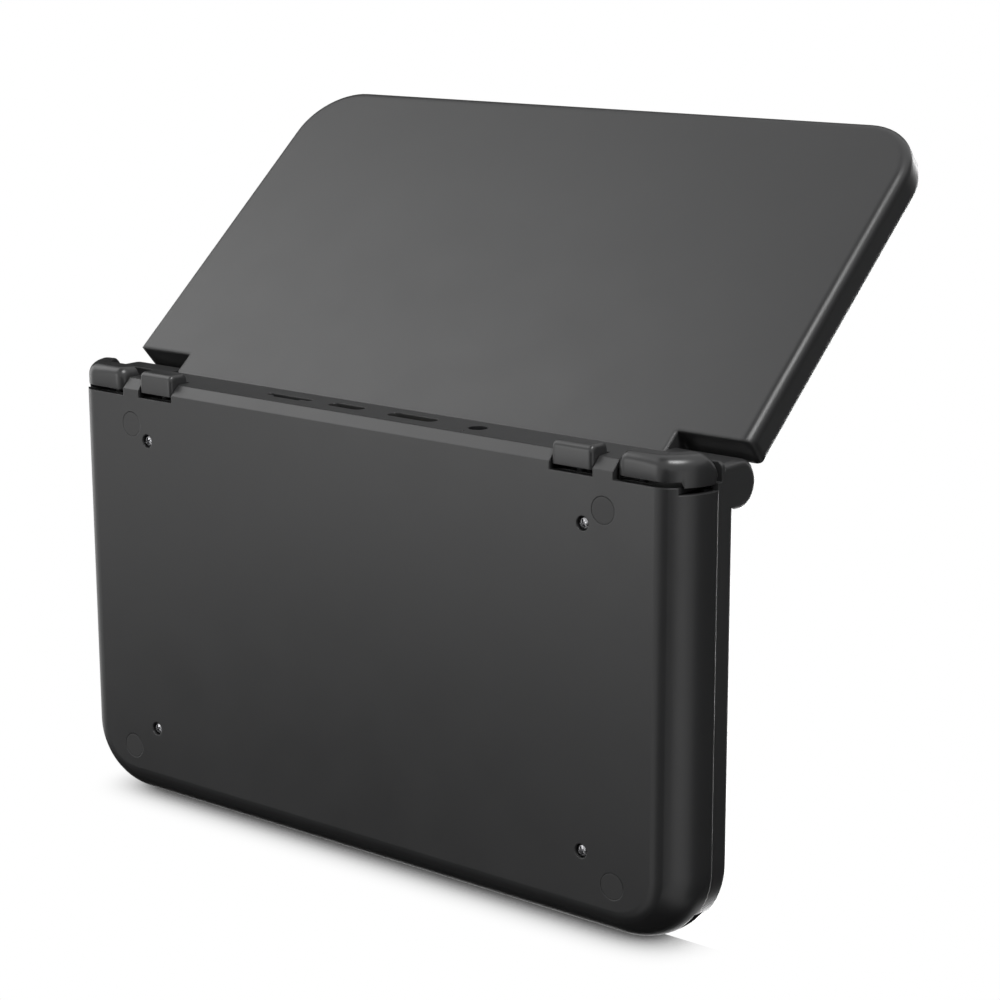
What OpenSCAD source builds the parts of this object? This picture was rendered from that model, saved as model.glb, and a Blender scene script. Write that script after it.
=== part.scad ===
// Clamshell handheld game console: a base with the controls, a battery and the sockets, and a lid
// with the screen, joined by a friction hinge between two end knuckles.
// The base lies on its back cover. +X is the player's right, +Y is the hinge side, +Z is up.
// The lid is drawn shut about the hinge axis and then turned open by open_angle.

/* [Base] */
// Width of the base and the lid
base_w = 155; // [150:1:164]
// Depth of the base, front to rear
base_d = 89.6; // [88:0.2:96]
// Thickness of the base
base_t = 14.9; // [14.9:0.1:16.5]
// Width of the rounding along the base's lower edge
round_w = 6.8; // [6:0.1:7.2]
// Height of the rounding along the base's lower edge
round_h = 9.4; // [9:0.1:9.4]
// Radius with which that rounding leaves the underside
round_r = 4.4; // [4:0.1:5]
// Rounding of the base's upper edge
top_round = 1.6; // [0.8:0.2:2]
// Radius of the front corners seen from above
corner_r = 15; // [13:0.5:18]
// Rounding of the rear corners and of the knuckles' ends
rear_r = 1.4; // [1:0.1:1.6]
// Chamfer along the lower rear edge
rear_chamfer = 2; // [1.2:0.2:2.2]
// Wall of the two base mouldings
wall = 1.6; // [1.4:0.1:1.8]
// Thickness of the floor
floor_t = 1.4; // [1.2:0.1:1.6]
// Height of the parting line at the front and sides
split_z = 9.5; // [9:0.1:10]
// How far the control deck lies below the rim
deck_drop = 1.2; // [1:0.1:1.4]
// Width of the raised rim around the deck
rim_w = 4.5; // [3.6:0.1:5]

/* [Lid] */
// Thickness of the lid
lid_t = 6.3; // [6:0.1:7]
// Gap between the shut lid and the base
lid_gap = 0.3; // [0.25:0.05:0.5]
// Radius of the lid's front corners
lid_corner_r = 13; // [11:0.5:15]
// Rounding of the lid's outer edge
lid_round = 1.75; // [1.2:0.05:2]
// Skin of the lid
lid_skin = 1.3; // [1.1:0.1:1.5]
// Opening angle of the lid as stored
open_angle = 130.8; // [90:0.1:180]

/* [Hinge] */
// Distance of the hinge axis from the rear face
hinge_inset = 5.14; // [4.9:0.02:5.6]
// Height of the hinge axis over the base's upper face
hinge_rise = 2.23; // [2.1:0.01:2.4]
// Radius of the end knuckles
knuckle_r = 4.5; // [4.3:0.05:4.6]
// Length of each end knuckle
knuckle_len = 15.2; // [13.5:0.1:16]
// Radius of the hinge pins
pin_r = 1.5; // [1.3:0.05:1.7]
// Outer radius of the friction sleeves
sleeve_r = 2.7; // [2.5:0.05:2.9]
// Length of the friction sleeves
sleeve_len = 11; // [9:0.5:12]

/* [Shoulder keys] */
// Width of the inner shoulder keys
inner_key_w = 9.2; // [8:0.2:9.2]
// Distance of the inner shoulder keys from the side
inner_key_inset = 24.8; // [24.5:0.1:25.5]
// Height of the inner shoulder keys
inner_key_h = 4.8; // [4.4:0.1:5.2]
// How far the shoulder keys stand out of the rear face
key_proud = 1.9; // [1.4:0.1:2.2]
// Thickness of the corner shoulder keys' shell
corner_key_t = 4.5; // [4.2:0.1:4.8]
// Length of the corner shoulder keys
corner_key_l = 15.3; // [14.5:0.1:15.4]
// Rounding of the corner shoulder keys' rear edge
corner_key_r = 2.2; // [1.6:0.1:2.4]
// Rounding of the corner shoulder keys' free end
corner_key_end = 4.7; // [4:0.1:5.2]
// Height to which the corner shoulder keys wrap round the side
corner_key_h = 10.3; // [9.8:0.1:10.3]
// Travel of the shoulder keys
key_travel = 0.8; // [0.5:0.1:1]

/* [Controls] */
// Distance of the sticks from the side
stick_inset = 18.5; // [18:0.5:19.5]
// Place of the sticks along the depth
stick_y = 19; // [18:0.5:20]
// Radius of the stick caps
cap_r = 6.5; // [6:0.1:6.6]
// Tilt of the sticks to each side
stick_tilt = 12; // [8:1:12]
// Distance of the cross pad and the face buttons from the side
pad_inset = 18.5; // [18:0.5:19.5]
// Place of the cross pad and the face buttons along the depth
pad_y = -10; // [-11:0.5:-9]
// Span of the cross pad
pad_span = 19.6; // [18:0.2:19.8]
// Width of the cross pad's arms
pad_arm = 6.4; // [5.8:0.1:6.8]
// Radius of the face buttons
button_r = 3.9; // [3.4:0.1:4]
// Distance of the face buttons from their middle
button_step = 9; // [8.8:0.1:9.4]
// Travel of the face buttons
button_travel = 0.8; // [0.5:0.1:0.8]
// Distance of the small keys from the side
small_key_inset = 37.5; // [37:0.5:38]
// Length of the small keys
small_key_l = 6.4; // [5.6:0.2:6.6]
// Width of the small keys
small_key_w = 2.6; // [2.2:0.1:3]
// Travel of the small keys
small_travel = 0.4; // [0.2:0.1:0.4]

/* [Screen] */
// Width of the bezel beside the glass
glass_side = 19; // [18.5:0.1:22]
// Distance of the glass from the lid's free edge
glass_top = 4.9; // [4.4:0.1:6]
// Distance of the glass from the hinge axis
glass_foot = 10; // [9.5:0.1:12]
// Thickness of the screen glass
glass_t = 0.8; // [0.6:0.1:0.9]
// Rim of the glass outside the display panel
panel_edge = 1.5; // [1:0.1:1.6]
// Thickness of the display panel
panel_t = 2.2; // [1.8:0.1:2.6]
// Black edge of the panel beside the picture
picture_edge = 1.6; // [1.4:0.1:3]

/* [Sockets] */
// Height of the sockets' middle line
port_z = 6.8; // [6.7:0.1:7.2]
// Place of the memory card slot
card_x = 21.6; // [20:0.1:23]
// Place of the charging socket
usb_x = 6.6; // [6:0.1:7.4]
// Place of the video socket
video_x = -10.1; // [-10.8:0.1:-9.6]
// Place of the audio socket
audio_x = -26; // [-27:0.1:-24.5]
// Radius of the audio socket's bore
audio_r = 1.8; // [1.75:0.05:1.9]
// Depth of the audio socket's bore
audio_depth = 13; // [12:0.5:13.5]

/* [Fasteners] */
// Distance of the housing screws from the side
screw_inset = 22.15; // [21.9:0.05:22.5]
// Distance of the rear housing screws from the rear face
screw_rear = 12.2; // [12:0.1:12.6]
// Distance of the front housing screws from the front
screw_front = 16.5; // [16:0.1:17]
// Radius of the screw heads
head_r = 1.2; // [1:0.05:1.3]
// Radius of the flush rubber feet
foot_r = 2.5; // [2:0.1:2.6]

/* [Hidden] */
$fn = 64;
eps = 0.01;

w2 = base_w / 2;
d2 = base_d / 2;
hinge_y = d2 - hinge_inset;
hinge_z = base_t + hinge_rise;
deck_z = base_t - deck_drop;     // sunk control deck
under_z = deck_z - wall;         // its underside
// radius of that rounding higher up: a hair under the tangent one, so that the two arcs cross
side_r = 0.997 * (round_w ^ 2 + round_h ^ 2 - 2 * round_h * round_r) / (2 * (round_w - round_r));
inner_round = round_h - wall - 0.2; // of the hollow's lower edge

// the lid, seen from the hinge axis while it is shut
lid_in = lid_gap - hinge_rise;
lid_out = lid_in + lid_t;
barrel_r = lid_out;
end_gap = 0.3;                   // between the barrel's ends and the knuckles
pin_in = 13;                     // of the pins inside the barrel
barrel_end = w2 - knuckle_len - end_gap;
lid_front = 0.56 - hinge_y - d2;
notch_y = -(knuckle_r + 1.7);
notch_r = 1.4;
lid_rim = 1.5;                   // side walls of the lid's cover
bezel_t = 1.5;
bezel_z = lid_in + bezel_t;
bezel_fit = 0.1;
glass_w = base_w - 2 * glass_side;
glass_h = -lid_front - glass_top - glass_foot;
glass_y = lid_front + glass_top + glass_h / 2;
panel_w = glass_w - 2 * panel_edge;
panel_h = glass_h - 2 * panel_edge;
picture_w = panel_w - 2 * picture_edge;
picture_h = panel_h - 2 * picture_edge;
speaker_inset = 11;
speaker_w = 11;
speaker_l = 17;
speaker_t = 2.4;
speaker_y = lid_front + 27.9;
grille_l = 8;
grille_w = 1;
grille_step = 2.2;
lid_screw_inset = 6.3;
lid_screw_y = [lid_front + 8, lid_front + 40, notch_y - 5.8];
lid_boss_r = 1.9;
lid_pilot_r = 0.6;
bumper_r = 1.5;
bumper_h = 0.15;
bumper_in = 3.4;                 // of the bumpers from the lid's edge
cable_w = 12;
cable_t = 0.3;
cable_r = 2;
cable_z = 1.3;                   // middle of the ribbon's slot
cable_gap = 0.4;

// the rear of the base
shelf_z = base_t - 3.4;          // upper face of the shelf below the barrel
shelf_t = 1.1;
trough_gap = 0.35;
trough_r = barrel_r + trough_gap;
bay_y = hinge_y - trough_r - 1.2; // front of the solid bay that carries the hinge
rear_lip = rear_chamfer;         // the back cover ends here on the rear face
slot_y = d2 - 3.5;               // front edge of the shoulder keys' cut-outs
bulkhead_t = 1.2;
key_gap = 0.2;
key_back = slot_y + key_travel + key_gap;
key_rear = d2 + key_proud;
key_roof = 1;
key_plan_r = 4;                  // of the corner keys' rear corner seen from above
inner_key_r = 1.2;
inner_key_x = w2 - inner_key_inset;
inner_key_in = inner_key_x - inner_key_w / 2;
corner_key_x = w2 - corner_key_l;
key_side_x = corner_key_x - key_gap - 0.1; // inner side of the corner keys' cut-out
corner_inset = 0.25;             // of the corner keys' skin behind the base's side
plunger_x = corner_key_x + 4;
plunger_z = 3.2;
plunger_r = 0.9;
plunger_fit = 0.2;
plunger_y = slot_y - bulkhead_t + 0.3; // front end of the plungers

// boards and what stands on them
board_z = 4.3;                   // underside of the main board
board_t = 1;
board_top = board_z + board_t;
board_side = 9.5;
board_front = 1.5;
board_rear = slot_y - bulkhead_t - 0.5;
board_posts = [6, 30];
board_post_r = 2;
shield_w = 36;
shield_d = 18;
shield_h = 2;
shield_wall = 0.4;
ctrl_t = 0.8;
ctrl_top = deck_z - 4.3;         // upper side of the control boards
ctrl_z = ctrl_top - ctrl_t;
ctrl_out = w2 - wall - 3.4;
ctrl_in = ctrl_out - 37;
ctrl_front = -25;
ctrl_rear = 29.5;
ctrl_post_r = 1.4;
sheet_t = 0.4;                   // sheet of the rubber membranes
dome_r = 2.6;
flange_t = 0.7;
flange_z = under_z - 0.1 - flange_t;
flange_edge = 0.6;
dome_h = flange_z - button_travel - 0.2 - ctrl_top - sheet_t; // just clear of a pressed button
switch_a = 3.4;
switch_h = 0.6;
boss_r = 2.6;
boss_top = floor_t + 2.4;
pilot_r = 0.8;
head_t = 1.7;
head_deep = 0.5;
head_fit = 0.15;
screw_l = 6;
screw_x = w2 - screw_inset;
screw_y = [screw_front - d2, d2 - screw_rear];
foot_t = 0.8;
foot_inset = [17.7, 15.1];       // rear and front feet from the side
foot_y = [d2 - 9.2, 11.4 - d2];
battery_w = 66;
battery_d = 36;
battery_t = 5;
battery_front = round_w + 0.3 - d2;
membrane_r = 12.2;

// sockets
usb_w = 7.6;
usb_h = 2.5;
usb_depth = 5.6;
video_w = 10.6;
video_h = 2.8;
video_depth = 7;
card_w = 11.2;
card_h = 1.2;
card_depth = 6;
port_fit = 0.5;                  // of the wall's openings round the sockets
shell_t = 0.5;                   // metal of the sockets
port_back = 0.6;
card_notch_r = 4;                // finger notch of the card slot
notch_out = 1.6;                 // of its middle behind the rear face
audio_wall = 1.4;
audio_collar = 0.2;
audio_back = d2 - audio_depth - 3; // front end of its body
mic_r = 0.4;
mic_x = audio_x + 0.6;
mic_z = port_z - 3.7;

// sticks
stick_x = w2 - stick_inset;
pivot_z = deck_z - 4.6;
cap_z = deck_z - 1.6;
cap_t = 1.3;
cap_edge = 0.6;
cap_stem_r = 1.5;
dish_r = 15.8;
dish_z = cap_z + cap_t + 15.4;
well_gap = 0.95;                 // between a tilted cap and its well
well_r = cap_r * cos(stick_tilt) + (cap_z + cap_t - pivot_z) * sin(stick_tilt) + well_gap;
well_wall = 1.2;
well_foot = 0.6;                 // gap between the wells and the control boards
well_flare = 2.4;
gimbal_r = 4.1;
gimbal_in = 2.9;
gimbal_h = 1.4;
pivot_r = 0.6;
run_fit = 0.05;                  // running clearance on a radius
module_w = 14;
module_z = board_top + 0.7;
module_top = deck_z - 3.9;
module_floor = 0.9;
module_ear = 1.5;
module_ear_t = 0.7;

// cross pad, buttons and keys
pad_x = w2 - pad_inset;
small_key_x = w2 - small_key_inset;
pad_top = deck_z + 0.6;
pad_fit = 0.5;
pad_plate_z = under_z - 1.35;
pad_plate_t = 0.5;
pad_ball_r = 1.2;
pad_ball_z = ctrl_top + pad_ball_r + 0.03;
button_top = base_t - 0.1;
button_edge = 0.7;
button_fit = 0.25;
small_fit = 0.2;

// lanyard slot round the player's front left corner, across the parting line
lanyard_a = 44;
lanyard_l = 5;
lanyard_h = 2.6;
lanyard_z = split_z - 1.4;
lanyard_depth = 4.4;
lanyard_pin_r = 0.7;
lanyard_pin_in = 1.5;

SMALL_KEYS = [["volume_up_key", -1, 24], ["volume_down_key", -1, 17], ["select_key", -1, -5],
              ["back_key", -1, -15], ["power_key", 1, 20], ["start_key", 1, -5], ["home_key", 1, -15]];

// ---- shared shapes ----

// Section of a plate's rim: u outwards from 0, z up, rb and rt the lower and upper rounding
module edge(u, z0, z1, rb, rt)
{
    translate([0, z0 + rb]) square([u, z1 - rt - z0 - rb]);
    translate([0, z0]) square([u - rb, rb + eps]);
    intersection()
    {
        translate([u - rb, z0 + rb]) circle(rb);
        translate([u - rb - eps, z0]) square([rb + 2 * eps, rb]);
    }
    if (rt > 0)
    {
        translate([0, z1 - rt - eps]) square([u - rt, rt + eps]);
        intersection()
        {
            translate([u - rt, z1 - rt]) circle(rt);
            translate([u - rt - eps, z1 - rt]) square([rt + 2 * eps, rt]);
        }
    }
}

// What lies outside a disc of radius r about c, between the directions p and q
module outside(c, r, p, q)
    difference()
    {
        polygon([c, c + 4 * r * p, c + 4 * r * q]);
        translate(c) circle(r);
    }

// Section of the base's rim: an oval lower rounding of two arcs that meet smoothly, inset by i all round
module hull_edge(u, i, z1, rt)
{
    r1 = round_r - i;
    r2 = side_r - i;
    c1 = [u - round_w + i, round_r];
    c2 = [u - r2, round_h];
    turn = (c1 - c2) / norm(c1 - c2);
    difference()
    {
        translate([0, i]) square([u, z1 - i]);
        outside(c2, r2, [0, -1], [1, 0]);
        outside(c1, r1, [0, -1], turn);
        if (rt > 0) outside([u - rt, z1 - rt], rt, [1, 0], [0, 1]);
    }
}

// A tray: its rim's section is child 0 at width w, child 1 at depth rear - front and child 2 at radius rc
module tray(w, front, rear, rc)
{
    translate([-(w - rc), 0, 0]) rotate([90, 0, 90]) linear_extrude(2 * (w - rc))
        translate([rear, 0]) mirror([1, 0]) children(1);
    translate([0, rear, 0]) rotate([90, 0, 0]) linear_extrude(rear - front - rc)
        for (s = [0, 1]) mirror([s, 0]) children(0);
    for (s = [-1, 1])
        translate([s * (w - rc), front + rc, 0]) rotate([0, 0, s > 0 ? -90 : 180])
            rotate_extrude(angle = 90) children(2);
}

// A flat block with rounded front corners, its edges rounded as in edge(), square at the rear
module block(w, front, rear, z0, z1, rb, rt, rc)
    tray(w, front, rear, rc)
    {
        edge(w, z0, z1, rb, rt);
        edge(rear - front, z0, z1, rb, rt);
        edge(rc, z0, z1, rb, rt);
    }

module base_tray()
    tray(w2, -d2, d2, corner_r)
    {
        hull_edge(w2, 0, base_t, top_round);
        hull_edge(2 * d2, 0, base_t, top_round);
        hull_edge(corner_r, 0, base_t, top_round);
    }

// A rear corner seen from above, rounded by r, to be taken off at x, y
module corner_cut(x, y, r, h)
    translate([x - r, y - r, -1]) linear_extrude(h) difference()
    {
        square(r + 3);
        circle(r);
    }

module along_x(x0, x1) translate([x0, 0, 0]) rotate([90, 0, 90]) linear_extrude(x1 - x0) children();

module base_outer()
    difference()
    {
        base_tray();
        for (s = [0, 1]) mirror([s, 0, 0]) corner_cut(w2, d2, rear_r, base_t + 2);
        along_x(-w2 - 1, w2 + 1)
            polygon([[d2 - rear_chamfer, -1], [d2 - rear_chamfer, 0], [d2, rear_chamfer],
                     [d2 + 1, rear_chamfer], [d2 + 1, -1]]);
    }

// Outline of the base seen from above, set in by i, square at the rear edge rear
module plan(i, rear)
{
    rc = corner_r - i;
    w = w2 - i;
    translate([-w, -d2 + corner_r]) square([2 * w, rear + d2 - corner_r]);
    translate([-(w - rc), -d2 + i]) square([2 * (w - rc), rc + 1]);
    for (s = [-1, 1]) translate([s * (w - rc), -d2 + corner_r]) circle(rc);
}

module box(x0, x1, y0, y1, z0, z1) translate([x0, y0, z0]) cube([x1 - x0, y1 - y0, z1 - z0]);

module both() for (s = [0, 1]) mirror([s, 0, 0]) children();

module at_screws() for (s = [-1, 1]) for (y = screw_y) translate([s * screw_x, y, 0]) children();

// Turns what is drawn about the hinge axis with the lid shut to the stored opening
module in_lid() translate([0, hinge_y, hinge_z]) rotate([-open_angle, 0, 0]) children();

module pill(l, w)
{
    square([l - w, w], center = true);
    for (s = [-1, 1]) translate([s * (l - w) / 2, 0]) circle(w / 2);
}

// A cylinder or a hole along the depth, from y0 to y1
module bar(x, z, r, y0, y1) translate([x, y0, z]) rotate([-90, 0, 0]) cylinder(r = r, h = y1 - y0);

// A cylinder or a hole along the width, from x0 to x1, about the hinge axis or any y, z
module rod(x0, x1, y, z, r) translate([x0, y, z]) rotate([0, 90, 0]) cylinder(r = r, h = x1 - x0);

// ---- base mouldings ----

module key_cutouts() both()
{
    box(inner_key_in - key_gap, inner_key_in + inner_key_w + key_gap, slot_y, d2 + 5,
        -1, inner_key_h + 2 * key_gap);
    box(key_side_x, w2 + 5, slot_y, d2 + 5, -1, corner_key_h + 0.3);
}

module lanyard_slot()
    translate([corner_r - w2, corner_r - d2, lanyard_z]) rotate([0, 0, 180 + lanyard_a])
        box(corner_r - lanyard_depth, corner_r + 2, -lanyard_l / 2, lanyard_l / 2, 0, lanyard_h);

module foot_places() for (s = [-1, 1]) for (i = [0, 1])
    translate([s * (w2 - foot_inset[i]), foot_y[i], 0]) children();

module bottom_cover() color("#2b2c2e") difference()
{
    union()
    {
        difference()
        {
            intersection()
            {
                base_outer();
                box(-w2 - 1, w2 + 1, -d2 - 1, d2 + 1, -1, split_z);
            }
            block(w2 - wall, wall - d2, d2 - wall, floor_t, base_t, inner_round, 0, corner_r - wall);
            translate([0, 0, floor_t]) linear_extrude(wall) plan(round_w, slot_y - bulkhead_t);
            box(-w2 - 1, w2 + 1, slot_y - bulkhead_t - 0.1, d2 + 1, rear_lip, base_t);
        }
        at_screws() translate([0, 0, floor_t - eps]) cylinder(r = boss_r, h = boss_top - floor_t + eps);
        both() for (y = board_posts) translate([screw_x / 2, y, floor_t - eps])
            cylinder(r = board_post_r, h = board_z - floor_t + eps);
    }
    key_cutouts();
    at_screws()
    {
        translate([0, 0, -1]) cylinder(r = head_r + head_fit, h = 1 + head_deep + head_t);
        translate([0, 0, -1]) cylinder(r = pilot_r + head_fit, h = boss_top + 2);
    }
    foot_places() translate([0, 0, -1]) cylinder(r = foot_r, h = 1 + foot_t);
    lanyard_slot();
}

// End knuckle: half round above, square-shouldered down to the shelf, its outer end eased all round
module knuckle()
{
    translate([w2 - knuckle_len, hinge_y, hinge_z]) rotate([0, 90, 0]) rotate_extrude()
    {
        square([knuckle_r - rear_r, knuckle_len]);
        square([knuckle_r, knuckle_len - rear_r]);
        intersection()
        {
            translate([knuckle_r - rear_r, knuckle_len - rear_r]) circle(rear_r);
            square([knuckle_r, knuckle_len]);
        }
    }
    difference()
    {
        box(w2 - knuckle_len, w2, hinge_y - knuckle_r + 1, hinge_y + knuckle_r, shelf_z - eps, hinge_z);
        corner_cut(w2, hinge_y + knuckle_r, rear_r, base_t + 9);
    }
}

module pad_cross(span, arm)
{
    square([span, arm], center = true);
    square([arm, span], center = true);
}

module button_places()
    for (a = [0:90:270])
        translate([pad_x + button_step * cos(a), pad_y + button_step * sin(a), 0]) children();

module port_hole(x, l, h)
    translate([x, d2 - wall - 1, port_z]) rotate([-90, 0, 0]) linear_extrude(wall + 2) pill(l, h);

module port_cuts()
{
    port_hole(card_x, card_w + port_fit, card_h + port_fit);
    // finger notch of the card slot
    translate([card_x, d2 + notch_out, port_z - card_h / 3])
        cylinder(r = card_notch_r, h = 2 * card_h, center = true);
    port_hole(usb_x, usb_w + 2 * port_fit, usb_h + port_fit);
    port_hole(video_x, video_w + 2 * port_fit, video_h + port_fit);
    bar(audio_x, port_z, audio_r + audio_collar, d2 - wall - 1, d2 + 1);
    bar(mic_x, mic_z, mic_r, d2 - wall - 1, d2 + 1);
}

module top_shell() color("#2b2c2e") difference()
{
    union()
    {
        difference()
        {
            intersection()
            {
                base_outer();
                box(-w2 - 1, w2 + 1, -d2 - 1, d2 + 1, split_z, base_t + 1);
            }
            // hollow below the deck, up to the solid bay of the hinge
            translate([0, 0, split_z - 1]) linear_extrude(under_z - split_z + 1) plan(wall, bay_y);
            box(-w2 + wall, w2 - wall, bay_y - 1, d2 - wall, split_z - 1, shelf_z - shelf_t);
            // sunk control deck
            translate([0, 0, deck_z]) linear_extrude(deck_drop + 1) plan(rim_w, bay_y - 0.6);
            // shelf below the barrel and the knuckles
            box(-w2 - 1, w2 + 1, hinge_y, d2 + 1, shelf_z, base_t + 1);
        }
        // rear wall with the sockets
        box(-w2 + rear_r, w2 - rear_r, d2 - wall, d2, rear_lip, shelf_z - eps);
        // bulkheads in front of the shoulder keys
        both()
        {
            box(inner_key_in - key_gap - bulkhead_t, w2 - 2 * wall, slot_y - bulkhead_t, slot_y,
                rear_lip, shelf_z - eps);
            box(inner_key_in - key_gap - bulkhead_t, key_side_x, slot_y - eps, d2 - eps,
                inner_key_h + 2 * key_gap, inner_key_h + 2 * key_gap + key_roof);
            box(key_side_x - bulkhead_t, key_side_x, slot_y - eps, d2 - eps, rear_lip, shelf_z - eps);
        }
        // lip inside the back cover's wall
        translate([0, 0, split_z - 1.5]) linear_extrude(2.5) difference()
        {
            plan(wall + 0.15, slot_y - bulkhead_t + eps);
            plan(wall + 1.05, slot_y - bulkhead_t + 1);
        }
        // wells of the sticks
        both() translate([stick_x, stick_y, ctrl_top + well_foot])
            cylinder(r = well_r + well_wall, h = under_z - ctrl_top - well_foot + eps);
        at_screws() translate([0, 0, boss_top]) cylinder(r = boss_r, h = under_z - boss_top + eps);
        // posts that hold the control boards
        both() for (x = [ctrl_in + 2, ctrl_out - 2]) for (y = [ctrl_front + 2.2, ctrl_rear - 1.8])
            translate([x, y, ctrl_top]) cylinder(r = ctrl_post_r, h = under_z - ctrl_top + eps);
        both() knuckle();
    }
    key_cutouts();
    // trough of the lid's barrel
    rod(-barrel_end - end_gap, barrel_end + end_gap, hinge_y, hinge_z, trough_r);
    box(-barrel_end - end_gap, barrel_end + end_gap, hinge_y, d2 + 1, shelf_z, hinge_z + 1);
    // seats of the hinge sleeves
    both() rod(w2 - knuckle_len - eps, w2 - knuckle_len + sleeve_len, hinge_y, hinge_z, sleeve_r);
    both() translate([stick_x, stick_y, 0])
    {
        translate([0, 0, ctrl_top]) cylinder(r = well_r, h = base_t);
        translate([0, 0, deck_z - 1.2]) cylinder(r1 = well_r, r2 = well_r + well_flare, h = 1.2 + eps);
    }
    translate([-pad_x, pad_y, under_z - 1]) linear_extrude(5)
        pad_cross(pad_span + 2 * pad_fit, pad_arm + 2 * pad_fit);
    button_places() translate([0, 0, under_z - 1]) cylinder(r = button_r + button_fit, h = 5);
    for (k = SMALL_KEYS) translate([k[1] * small_key_x, k[2], under_z - 1]) linear_extrude(5)
        pill(small_key_l + 2 * small_fit, small_key_w + 2 * small_fit);
    at_screws() translate([0, 0, floor_t])
        cylinder(r = pilot_r, h = head_deep + head_t + screw_l - floor_t + 0.2);
    port_cuts();
    lanyard_slot();
    both() for (x = [inner_key_x, plunger_x])
        bar(x, plunger_z, plunger_r + plunger_fit, slot_y - bulkhead_t - 1, slot_y + 1);
}

// ---- inside the base ----

module main_board() color("#1d4a2c") difference()
{
    box(-w2 + board_side, w2 - board_side, board_front, board_rear, board_z, board_top);
    at_screws() cylinder(r = boss_r + 0.4, h = base_t);
    box(audio_x - audio_r - audio_wall, audio_x + audio_r + audio_wall, audio_back, board_rear + 1,
        board_z - 1, board_top + 1);
}

module processor_shield() color("#b9bcc0") translate([0, 8, board_top]) difference()
{
    box(-shield_w / 2, shield_w / 2, 0, shield_d, 0, shield_h);
    box(shield_wall - shield_w / 2, shield_w / 2 - shield_wall, shield_wall, shield_d - shield_wall,
        -1, shield_h - shield_wall);
}

module battery() color("#3f4a58")
    box(-battery_w / 2, battery_w / 2, battery_front, battery_front + battery_d, floor_t, floor_t + battery_t);

module control_board(s) mirror([s < 0 ? 1 : 0, 0, 0]) color("#1d4a2c") difference()
{
    box(ctrl_in, ctrl_out, ctrl_front, ctrl_rear, ctrl_z, ctrl_top);
    translate([stick_x, stick_y, ctrl_z]) cube([module_w, module_w, 4], center = true);
}

module left_membrane() color("#c9c9c4") translate([-pad_x, pad_y, ctrl_top]) difference()
{
    cylinder(r = membrane_r, h = sheet_t);
    translate([0, 0, -1]) cylinder(r = pad_ball_r + 0.8, h = 3);
}

module right_membrane() color("#c9c9c4")
{
    translate([pad_x, pad_y, ctrl_top]) cylinder(r = membrane_r, h = sheet_t);
    button_places() translate([0, 0, ctrl_top + sheet_t - eps]) cylinder(r = dome_r, h = dome_h + eps);
}

module key_switches() color("#8c8f94") for (k = SMALL_KEYS)
    translate([k[1] * small_key_x, k[2], ctrl_top + switch_h / 2])
        cube([switch_a, switch_a, switch_h], center = true);

module shoulder_switches() color("#8c8f94") both() for (x = [inner_key_x, plunger_x])
    box(x - 2.2, x + 2.2, slot_y - bulkhead_t - 4, plunger_y - key_travel - 0.2, plunger_z - 1.5, board_z);

// Pressed metal shell round an opening, seated on the main board and against the rear wall
module socket(x, l, h, depth, tongue)
{
    y1 = d2 - wall;
    difference()
    {
        box(x - l / 2 - shell_t, x + l / 2 + shell_t, y1 - depth, y1, board_top, port_z + h / 2 + shell_t);
        translate([x, y1 - depth + port_back, port_z]) rotate([-90, 0, 0]) linear_extrude(depth) pill(l, h);
    }
    if (tongue > 0)
        box(x - (l - h) / 2, x + (l - h) / 2, y1 - depth + port_back - eps, y1 - 0.8,
            port_z - tongue / 2, port_z + tongue / 2);
}

module memory_card_socket() color("#a7a9ad") socket(card_x, card_w, card_h, card_depth, 0);
module charging_socket() color("#a7a9ad") socket(usb_x, usb_w, usb_h, usb_depth, 0.7);
module video_socket() color("#a7a9ad") socket(video_x, video_w, video_h, video_depth, 0.9);

module audio_socket() color("#202123") difference()
{
    w = audio_r + audio_wall;
    y1 = d2 - wall;
    union()
    {
        box(audio_x - w, audio_x + w, audio_back, y1, board_z, port_z + audio_r + 0.8);
        bar(audio_x, port_z, audio_r + audio_collar, y1 - 1, d2);
    }
    bar(audio_x, port_z, audio_r, d2 - audio_depth, d2 + 1);
}

module lanyard_pin() color("#a7a9ad")
    translate([corner_r - w2, corner_r - d2, lanyard_z]) rotate([0, 0, 180 + lanyard_a])
        translate([corner_r - lanyard_pin_in, 0, 0]) cylinder(r = lanyard_pin_r, h = lanyard_h);

module rubber_feet() color("#232323") foot_places() cylinder(r = foot_r, h = foot_t);

module housing_screws() color("#55585c") at_screws()
{
    translate([0, 0, head_deep]) cylinder(r = head_r, h = head_t);
    translate([0, 0, head_deep + head_t - 0.2]) cylinder(r = pilot_r, h = screw_l);
}

// ---- sticks ----

module stick_module(s) translate([s * stick_x, stick_y, 0]) color("#303236") difference()
{
    ear = module_w / 2 + module_ear;
    union()
    {
        translate([-module_w / 2, -module_w / 2, module_z]) cube([module_w, module_w, module_top - module_z]);
        box(-ear, ear, -ear, ear, ctrl_z - module_ear_t, ctrl_z);
    }
    translate([0, 0, module_z + module_floor]) cylinder(r = gimbal_r + 0.6, h = 5);
    rod(1 - module_w / 2, module_w / 2 - 1, 0, pivot_z, pivot_r + run_fit);
}

module stick_gimbal(s) translate([s * stick_x, stick_y, pivot_z]) color("#c8c8c8") difference()
{
    pin = gimbal_r + 1.7;
    union()
    {
        cylinder(r = gimbal_r, h = gimbal_h, center = true);
        rod(-pin, pin, 0, 0, pivot_r);
    }
    cylinder(r = gimbal_in, h = 4, center = true);
    bar(0, 0, pivot_r + run_fit, -5, 5);
}

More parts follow.
